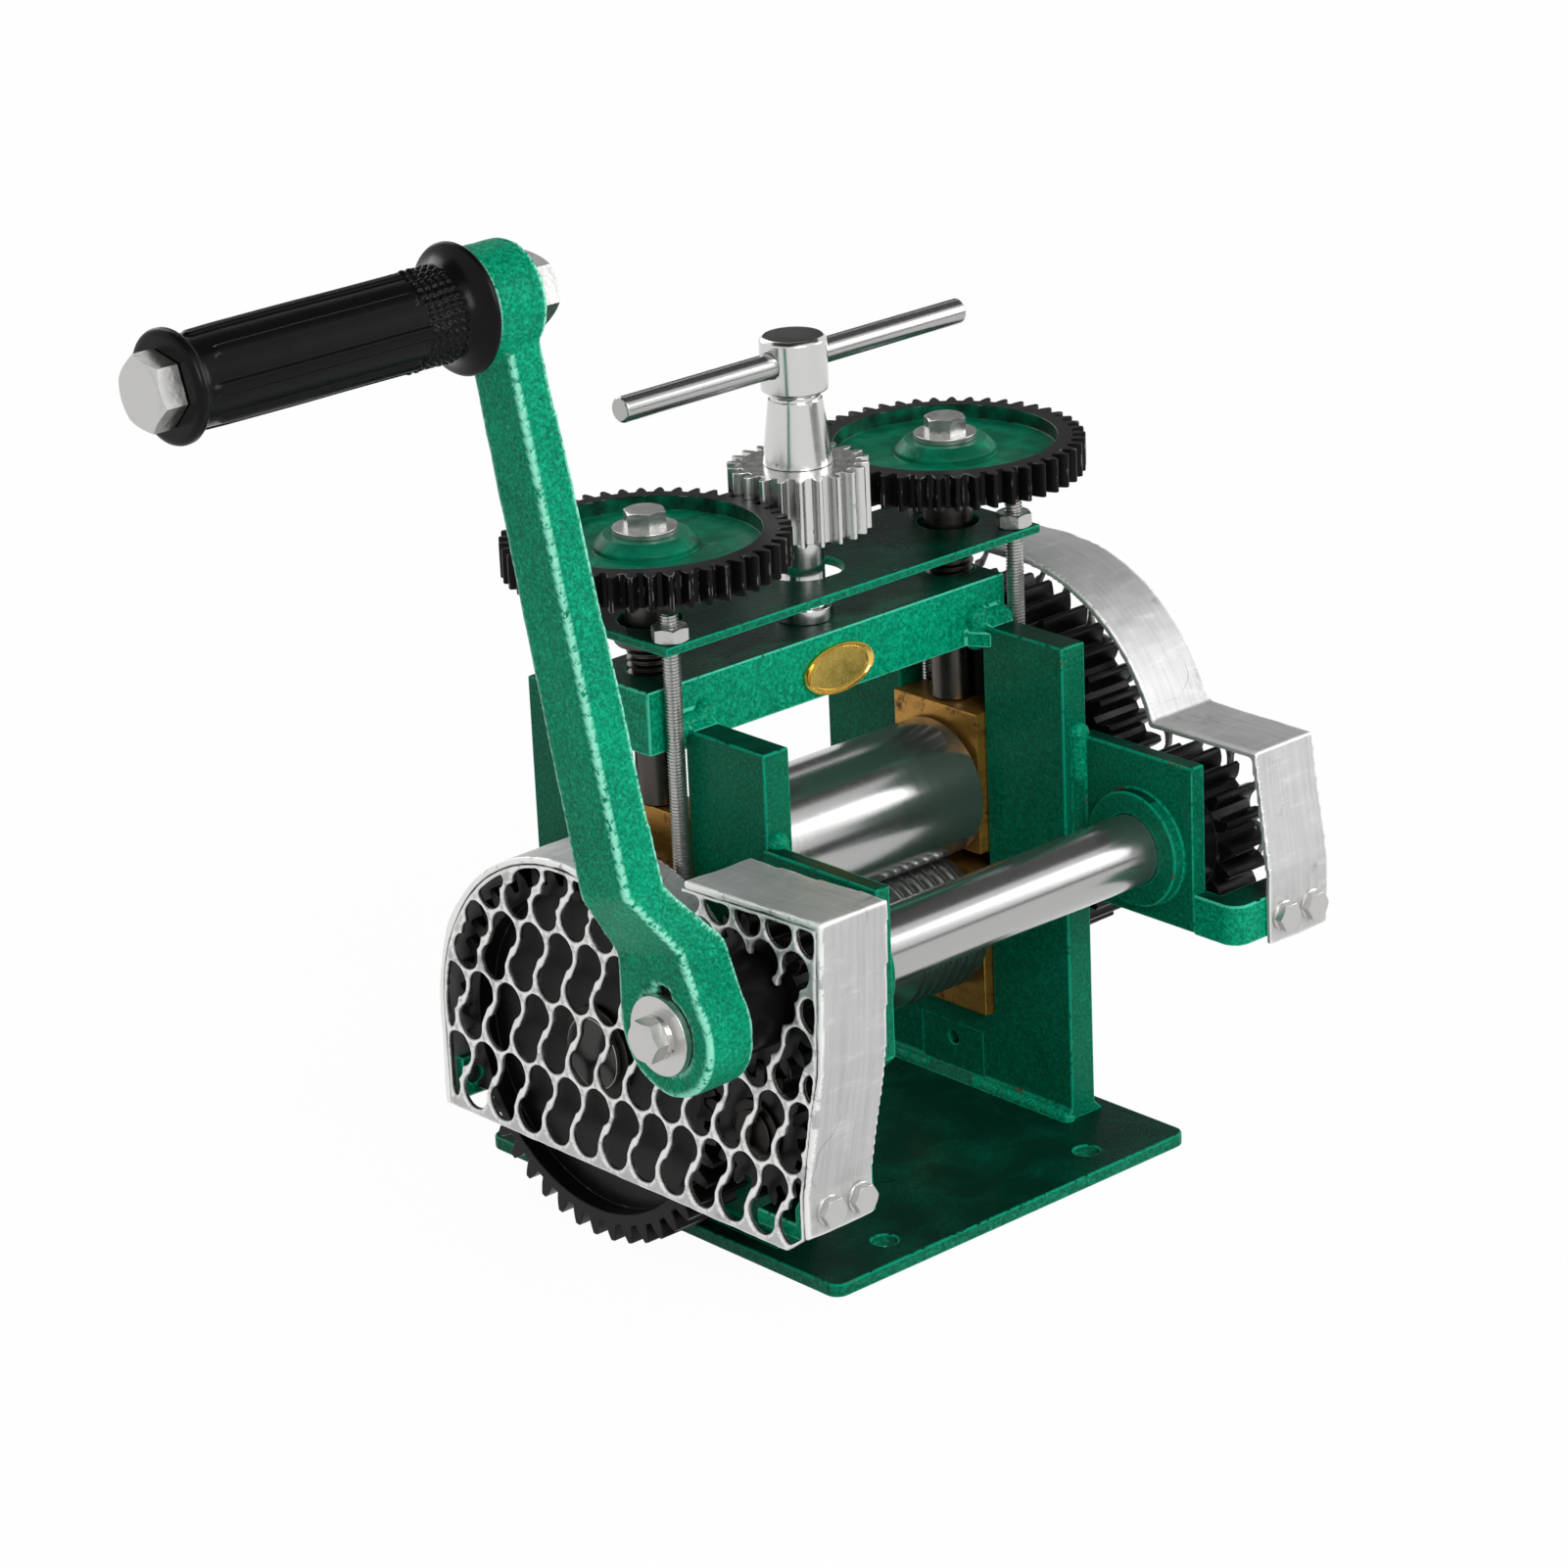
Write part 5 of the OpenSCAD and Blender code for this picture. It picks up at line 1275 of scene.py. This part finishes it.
class ScrewsAndRods(bpy.types.Operator):
    """Threaded pressure screws and lifting rods"""

    bl_idname = "mill.screws_and_rods"
    bl_label = "Screws and rods"

    small_bevel = 0.3 * MM
    pin_bevel = 0.5 * MM
    pin_inset = 0.6 * MM
    end_radius = 4 * MM
    play = 0.05 * MM
    overlap = 0.1 * MM
    below_yoke = 1.5 * MM
    collar_height = 2.7 * MM
    rod_steps = 12

    def screw(self, side, settings):
        """A pressure screw: plain pin, thread, collar under the lifting plate and seat of the gear."""
        node = side + "_pressure_screw"
        low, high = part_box(node)
        yoke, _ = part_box("top_yoke")
        plate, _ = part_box("lifting_plate")
        gear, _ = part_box(side + "_screw_gear")
        radius = settings.screw_radius
        depth = settings.screw_pitch * settings.depth_share
        pin = radius - self.pin_inset
        collar = (high.x - low.x) / 2
        bevel = self.small_bevel
        thread_low = yoke.z - self.below_yoke
        thread_high = plate.z - self.collar_height
        bm = turned([
            (0, low.z), (pin - self.pin_bevel, low.z), (pin, low.z + self.pin_bevel),
            (pin, thread_low + self.pin_bevel), (0, thread_low + self.pin_bevel),
        ])
        add_mesh(bm, thread(radius, settings.screw_pitch, depth, thread_low, thread_high, settings.steps))
        add_mesh(bm, turned([
            (0, thread_high - self.overlap), (collar - bevel, thread_high - self.overlap),
            (collar, thread_high + bevel), (collar, plate.z - bevel), (collar - bevel, plate.z - self.play),
            (radius, plate.z - self.play), (radius, gear.z - bevel), (radius - bevel, gear.z),
            (self.end_radius, gear.z), (self.end_radius, high.z), (0, high.z),
        ]))
        bmesh.ops.translate(bm, verts=bm.verts, vec=((low.x + high.x) / 2, (low.y + high.y) / 2, 0))
        stand_in(node, bm, "dark steel")

    def execute(self, context):
        settings = context.scene.mill_threads
        for side in ("left", "right"):
            self.screw(side, settings)
        pitch = settings.rod_pitch
        depth = pitch * settings.depth_share
        bm = bmesh.new()
        for low, high in island_boxes("lift_rods"):
            rod = thread((high.x - low.x) / 2, pitch, depth, low.z, high.z, self.rod_steps)
            bmesh.ops.translate(rod, verts=rod.verts, vec=((low.x + high.x) / 2, (low.y + high.y) / 2, 0))
            add_mesh(bm, rod)
        stand_in("lift_rods", bm, "zinc")
        return {"FINISHED"}


class SpindleParts(bpy.types.Operator):
    """T spindle, its pinion and the tommy bar"""

    bl_idname = "mill.spindle_parts"
    bl_label = "Spindle parts"

    def execute(self, context):
        width = context.scene.mill_edges.turned
        dress("spindle", "spindle steel", width)
        dress("spindle_pinion", "pinion steel", context.scene.mill_edges.gear)
        dress("tommy_bar", "roller steel", width)
        return {"FINISHED"}


class CrankArm(bpy.types.Operator):
    """Rough cast crank arm with softened corners"""

    bl_idname = "mill.crank_arm"
    bl_label = "Crank arm"

    def execute(self, context):
        edges = context.scene.mill_edges
        cast_copy(
            "crank_arm", "crank green", edges.cast_grain, edges.cast_wobble, smoothing=5, waves=130.0
        )
        return {"FINISHED"}


class RubberGrip(bpy.types.Operator):
    """Moulded grip with raised bars, dots and two flanges"""

    bl_idname = "mill.rubber_grip"
    bl_label = "Rubber grip"

    # Place along the grip and radius, as shares of its length and of the flange's radius
    profile_shares = (
        (0.000, 0.93), (0.003, 0.985), (0.008, 1.00), (0.014, 1.00), (0.019, 0.985), (0.023, 0.955),
        (0.028, 0.90), (0.035, 0.845), (0.044, 0.795), (0.054, 0.755), (0.066, 0.725), (0.080, 0.708),
    )
    barrel_shares = (
        (0.080, 0.708), (0.16, 0.695), (0.40, 0.692), (0.60, 0.696), (0.80, 0.692), (0.935, 0.68),
    )
    end_shares = (
        (0.948, 0.68), (0.955, 0.71), (0.960, 0.77), (0.965, 0.82), (0.972, 0.842), (0.986, 0.846),
        (0.994, 0.83), (0.999, 0.79), (1.000, 0.72),
    )
    # Start, span and number of the rings along the barrel, fine by the dots
    ring_rows = ((0.080, 0.17, 60), (0.250, 0.685, 76))
    lifted = (0.082, 0.945)
    short_bar = (0.235, 0.88)
    long_bar = (0.165, 0.91)
    bar_slope = 0.55 * MM
    first_dot = 0.090
    dot_radius_share = 0.42
    dot_steepness = 1.6
    bore = 4.05 * MM
    steps = 240

    def radius_at(self, along):
        """Barrel radius, as a share of the flange radius, at a share of the length."""
        for (a, ra), (b, rb) in zip(self.barrel_shares, self.barrel_shares[1:]):
            if along <= b:
                part = (along - a) / (b - a)
                return ra + (rb - ra) * part * part * (3 - 2 * part)
        return self.barrel_shares[-1][1]

    def bar_lift(self, settings, angle, along, radius, grip_length):
        """Height of the raised bars at a point of the barrel."""
        sector = FULL_TURN / settings.bars
        offset = ((angle + sector / 2) % sector - sector / 2) * radius
        ends = self.short_bar if int((angle + sector / 2) // sector) % 2 else self.long_bar
        nearest = min(max(along, ends[0]), ends[1])
        distance = math.hypot(offset, (along - nearest) * grip_length)
        rise = clamped((settings.bar_width / 2 - distance) / self.bar_slope)
        return settings.bar_height * rise * rise * (3 - 2 * rise)

    def dot_lift(self, settings, angle, along, radius, grip_length):
        """Height of the dots by the arm."""
        pitch = settings.dot_pitch
        beyond = (along - self.first_dot) * grip_length
        row = round(beyond / pitch)
        if not 0 <= row < settings.dot_rows:
            return 0.0
        step = FULL_TURN / round(FULL_TURN * radius / pitch)
        offset = ((angle + step / 2) % step - step / 2) * radius
        distance = math.hypot(offset, beyond - row * pitch)
        rise = max(0.0, 1 - (distance / (self.dot_radius_share * pitch)) ** 2)
        return settings.dot_height * min(1.0, self.dot_steepness * rise)

    def execute(self, context):
        settings = context.scene.mill_grip
        low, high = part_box("handle_grip")
        centre = (low + high) / 2
        grip_length = high.x - low.x
        flange = (high.y - low.y) / 2
        shares = list(self.profile_shares)
        for start, span, number in self.ring_rows:
            places = [start + span * k / number for k in range(1, number + 1)]
            shares += [(along, self.radius_at(along)) for along in places]
        shares += list(self.end_shares)
        profile = [(self.bore, 0.0)]
        profile += [(radius * flange, along * grip_length) for along, radius in shares]
        profile += [(self.bore, grip_length), (self.bore, 0.0)]
        bm = turned(profile, self.steps)
        for vert in bm.verts:
            along = vert.co.z / grip_length
            radius = math.hypot(vert.co.x, vert.co.y)
            if not self.lifted[0] < along < self.lifted[1] or radius < 1.5 * self.bore:
                continue
            angle = math.atan2(vert.co.y, vert.co.x)
            lift = self.bar_lift(settings, angle, along, radius, grip_length)
            lift += self.dot_lift(settings, angle, along, radius, grip_length)
            vert.co += Vector((vert.co.x, vert.co.y, 0)) / radius * lift
        bm.transform(Matrix.Translation((high.x, centre.y, centre.z)) @ facing(-X_AXIS, Z_AXIS))
        piece = stand_in("handle_grip", bm, "rubber", smooth_below=60)
        piece.modifiers.remove(piece.modifiers["Level normals"])
        return {"FINISHED"}


class OvalBadge(bpy.types.Operator):
    """Bare oval plate with a raised rim on the front of the yoke"""

    bl_idname = "mill.oval_badge"
    bl_label = "Oval badge"

    # Reach and height of each ring, as shares of the oval's size and of its thickness
    rings = (
        (1.0, 0.55), (0.985, 1.0), (0.93, 1.0), (0.90, 0.55), (0.84, 0.50), (0.83, 0.72), (0.80, 0.72),
        (0.79, 0.50),
    )

    def execute(self, context):
        settings = context.scene.mill_badge
        low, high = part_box("top_yoke")
        points = [vert.co for vert in frame["nodes"]["top_yoke"].data.vertices]
        front = min(point.y for point in points if point.x < low.x + 0.1 * MM)
        bm = bmesh.new()
        bmesh.ops.create_circle(bm, cap_ends=True, segments=96, radius=1.0)
        bmesh.ops.scale(bm, vec=(settings.width / 2, settings.height / 2, 1), verts=bm.verts)
        faces = list(bm.faces)
        last = 1.0
        for reach, height_share in self.rings:
            verts, faces = raised(bm, faces)
            height = settings.thickness * height_share
            for vert in verts:
                vert.co = Vector((vert.co.x * reach / last, vert.co.y * reach / last, height))
            last = reach
        close_foot(bm)
        bmesh.ops.recalc_face_normals(bm, faces=bm.faces)
        place = Vector((settings.aside, front, low.z + settings.up_share * (high.z - low.z)))
        bm.transform(Matrix.Translation(place) @ facing(-Y_AXIS, X_AXIS))
        new_piece("oval_badge", bm, finish_called("gold"), "frame", smooth_below=50)
        return {"FINISHED"}


class HiddenParts(bpy.types.Operator):
    """Keys, clips and the idler stud, which keep their own shape"""

    bl_idname = "mill.hidden_parts"
    bl_label = "Keys and clips"

    nodes = (
        "drive_keys", "shaft_clip", "idler_stud", "idler_clip", "lower_gear_key", "lower_gear_clip",
        "upper_gear_key", "upper_gear_clip", "spindle_clip",
    )

    def execute(self, context):
        for node in self.nodes:
            dress(node, "dark steel", 0.08 * MM, segments=1, oily_ends=True)
        return {"FINISHED"}


class Studio(bpy.types.Operator):
    """Camera at the photographed angle, pale floor, sky, three soft lamps and four dark cards"""

    bl_idname = "mill.studio"
    bl_label = "Studio"

    aim = (0.0, 0.0, 0.09)
    # Name, angle round the X axis, width and height of the cards to the right
    cards = (
        ("Right_top_card", 84, 1.1, 0.45), ("Right_front_card", 186, 0.9, 0.26),
        ("Right_back_card", 30, 1.0, 0.45),
    )

    def aimed(self, place, aim):
        """Placement at a point, with +Z turned away from the aim."""
        turn = (Vector(place) - Vector(aim)).to_track_quat("Z", "Y")
        return Matrix.Translation(place) @ turn.to_matrix().to_4x4()

    def camera(self, settings):
        """Places the camera from its angles, distance and slide."""
        a, e, r = settings.azimuth, settings.elevation, settings.roll
        back = Vector((math.sin(a) * math.cos(e), -math.cos(a) * math.cos(e), math.sin(e)))
        right = Vector((math.cos(a), math.sin(a), 0))
        up = back.cross(right)
        place = Vector(settings.look_at) + back * settings.distance
        place += right * settings.slide[0] + up * settings.slide[1]
        rolled_right = math.cos(r) * right + math.sin(r) * up
        rolled_up = math.cos(r) * up - math.sin(r) * right
        data = bpy.data.cameras.new("Photo camera")
        data.sensor_width = 36.0
        data.lens = settings.focal_pixels / settings.picture_width * data.sensor_width
        data.clip_start = 0.05
        camera = object_from("Photo camera", data)
        turn = Matrix((rolled_right, rolled_up, back)).transposed().to_4x4()
        camera.matrix_world = Matrix.Translation(place) @ turn
        bpy.context.scene.camera = camera

    def lamp(self, name, place, size, power):
        """A square soft lamp that points at the mill."""
        data = bpy.data.lights.new(name, "AREA")
        data.size = size
        data.energy = power
        object_from(name, data).matrix_world = self.aimed(place, self.aim)

    def white_when_seen(self, tree, level, plain):
        """Mixes white into what the camera, gloss and glass see."""
        path = add_node(tree, "ShaderNodeLightPath").outputs
        seen = math_node(tree, "ADD", path["Is Camera Ray"], path["Is Glossy Ray"], clamp=True)
        seen = math_node(tree, "ADD", seen, path["Is Transmission Ray"], clamp=True)
        return add_node(tree, "ShaderNodeMixShader", {0: times(tree, seen, level), 1: plain})

    def sky(self, level):
        """Even light, seen as white."""
        world = bpy.data.worlds.new("Studio sky")
        world.use_nodes = True
        tree = world.node_tree
        plain = tree.nodes["Background"]
        plain.inputs["Color"].default_value = WHITE
        plain.inputs["Strength"].default_value = level
        white = add_node(tree, "ShaderNodeBackground", {"Color": WHITE, "Strength": 1.0})
        mix = self.white_when_seen(tree, 1.0, plain.outputs[0])
        tree.links.new(white.outputs[0], mix.inputs[2])
        tree.links.new(mix.outputs[0], tree.nodes["World Output"].inputs["Surface"])
        bpy.context.scene.world = world

    def plain_material(self, name, grey, roughness):
        """A grey material, its tree and its shader."""
        material = bpy.data.materials.new(name)
        material.use_nodes = True
        shader = material.node_tree.nodes["Principled BSDF"]
        shader.inputs["Base Color"].default_value = (grey, grey, grey, 1)
        shader.inputs["Roughness"].default_value = roughness
        return material, material.node_tree, shader

    def floor(self):
        """A wide pale floor that keeps the shadow."""
        bm = bmesh.new()
        bmesh.ops.create_grid(bm, x_segments=1, y_segments=1, size=6.0)
        mesh = mesh_from("Studio floor", bm)
        material, tree, shader = self.plain_material("White floor", 0.9, 0.7)
        shader.inputs["Specular IOR Level"].default_value = 0.1
        glow = add_node(tree, "ShaderNodeEmission", {"Color": WHITE, "Strength": 1.0})
        mix = self.white_when_seen(tree, 0.965, shader.outputs[0])
        tree.links.new(glow.outputs[0], mix.inputs[2])
        tree.links.new(mix.outputs[0], tree.nodes["Material Output"].inputs["Surface"])
        mesh.materials.append(material)
        floor = object_from("Studio_floor", mesh)

    def card(self, name, place, aim, width, height):
        """A dark card that only reflections see, for contrast in the polished steel."""
        bm = bmesh.new()
        bmesh.ops.create_grid(bm, x_segments=1, y_segments=1, size=0.5)
        bmesh.ops.scale(bm, vec=(width, height, 1), verts=bm.verts)
        bm.transform(self.aimed(place, aim))
        mesh = mesh_from(name, bm)
        mesh.materials.append(self.plain_material(name, 0.02, 0.9)[0])
        card = object_from(name, mesh)
        card.visible_camera = False
        card.visible_diffuse = False
        card.visible_shadow = False
        card.visible_transmission = False

    def execute(self, context):
        settings = context.scene.mill_studio
        context.scene.view_settings.view_transform = "Standard"
        self.camera(settings)
        self.sky(settings.sky_level)
        self.floor()
        self.lamp("Key lamp", (-0.35, -1.3, 0.95), 0.8, settings.key_power)
        self.lamp("Fill lamp", (1.15, -0.75, 0.55), 0.7, settings.fill_power)
        self.lamp("Back lamp", (0.2, 1.3, 0.9), 0.9, settings.back_power)
        self.card("Ceiling_card", (0.0, 0.15, 1.1), (0.0, 0.15, 0.0), 1.5, 1.1)
        for name, angle, width, height in self.cards:
            turn = math.radians(angle)
            toward = Vector((0.62, 0.784 * math.cos(turn), 0.784 * math.sin(turn)))
            self.card(name, Vector(self.aim) + 1.25 * toward, self.aim, width, height)
        return {"FINISHED"}


PIECES = (
    Studio, PaintedPlates, WeldBeads, GearCovers, HexFasteners, BearingBlocks, BlackGears, ScrewGears,
    RollersAndShaft, ScrewsAndRods, SpindleParts, CrankArm, RubberGrip, OvalBadge, HiddenParts,
)


class MillPanel(bpy.types.Panel):
    """Lists the pieces of the mill and their settings"""

    bl_idname = "VIEW3D_PT_rolling_mill"
    bl_label = "Rolling mill"
    bl_space_type = "VIEW_3D"
    bl_region_type = "UI"
    bl_category = "Rolling mill"

    def draw(self, context):
        for piece in PIECES:
            self.layout.operator(piece.bl_idname)
        for name, group in SETTINGS.items():
            box = self.layout.box()
            box.label(text=group.__doc__)
            for field in group.__annotations__:
                box.prop(getattr(context.scene, name), field)


CLASSES = (*SETTINGS.values(), *PIECES, MillPanel)


def register():
    for cls in CLASSES:
        bpy.utils.register_class(cls)
    for name, group in SETTINGS.items():
        setattr(bpy.types.Scene, name, bpy.props.PointerProperty(type=group))


def unregister():
    for name in SETTINGS:
        delattr(bpy.types.Scene, name)
    for cls in reversed(CLASSES):
        bpy.utils.unregister_class(cls)


def main():
    register()
    for piece in PIECES:
        run(piece)


if __name__ == "__main__":
    main()
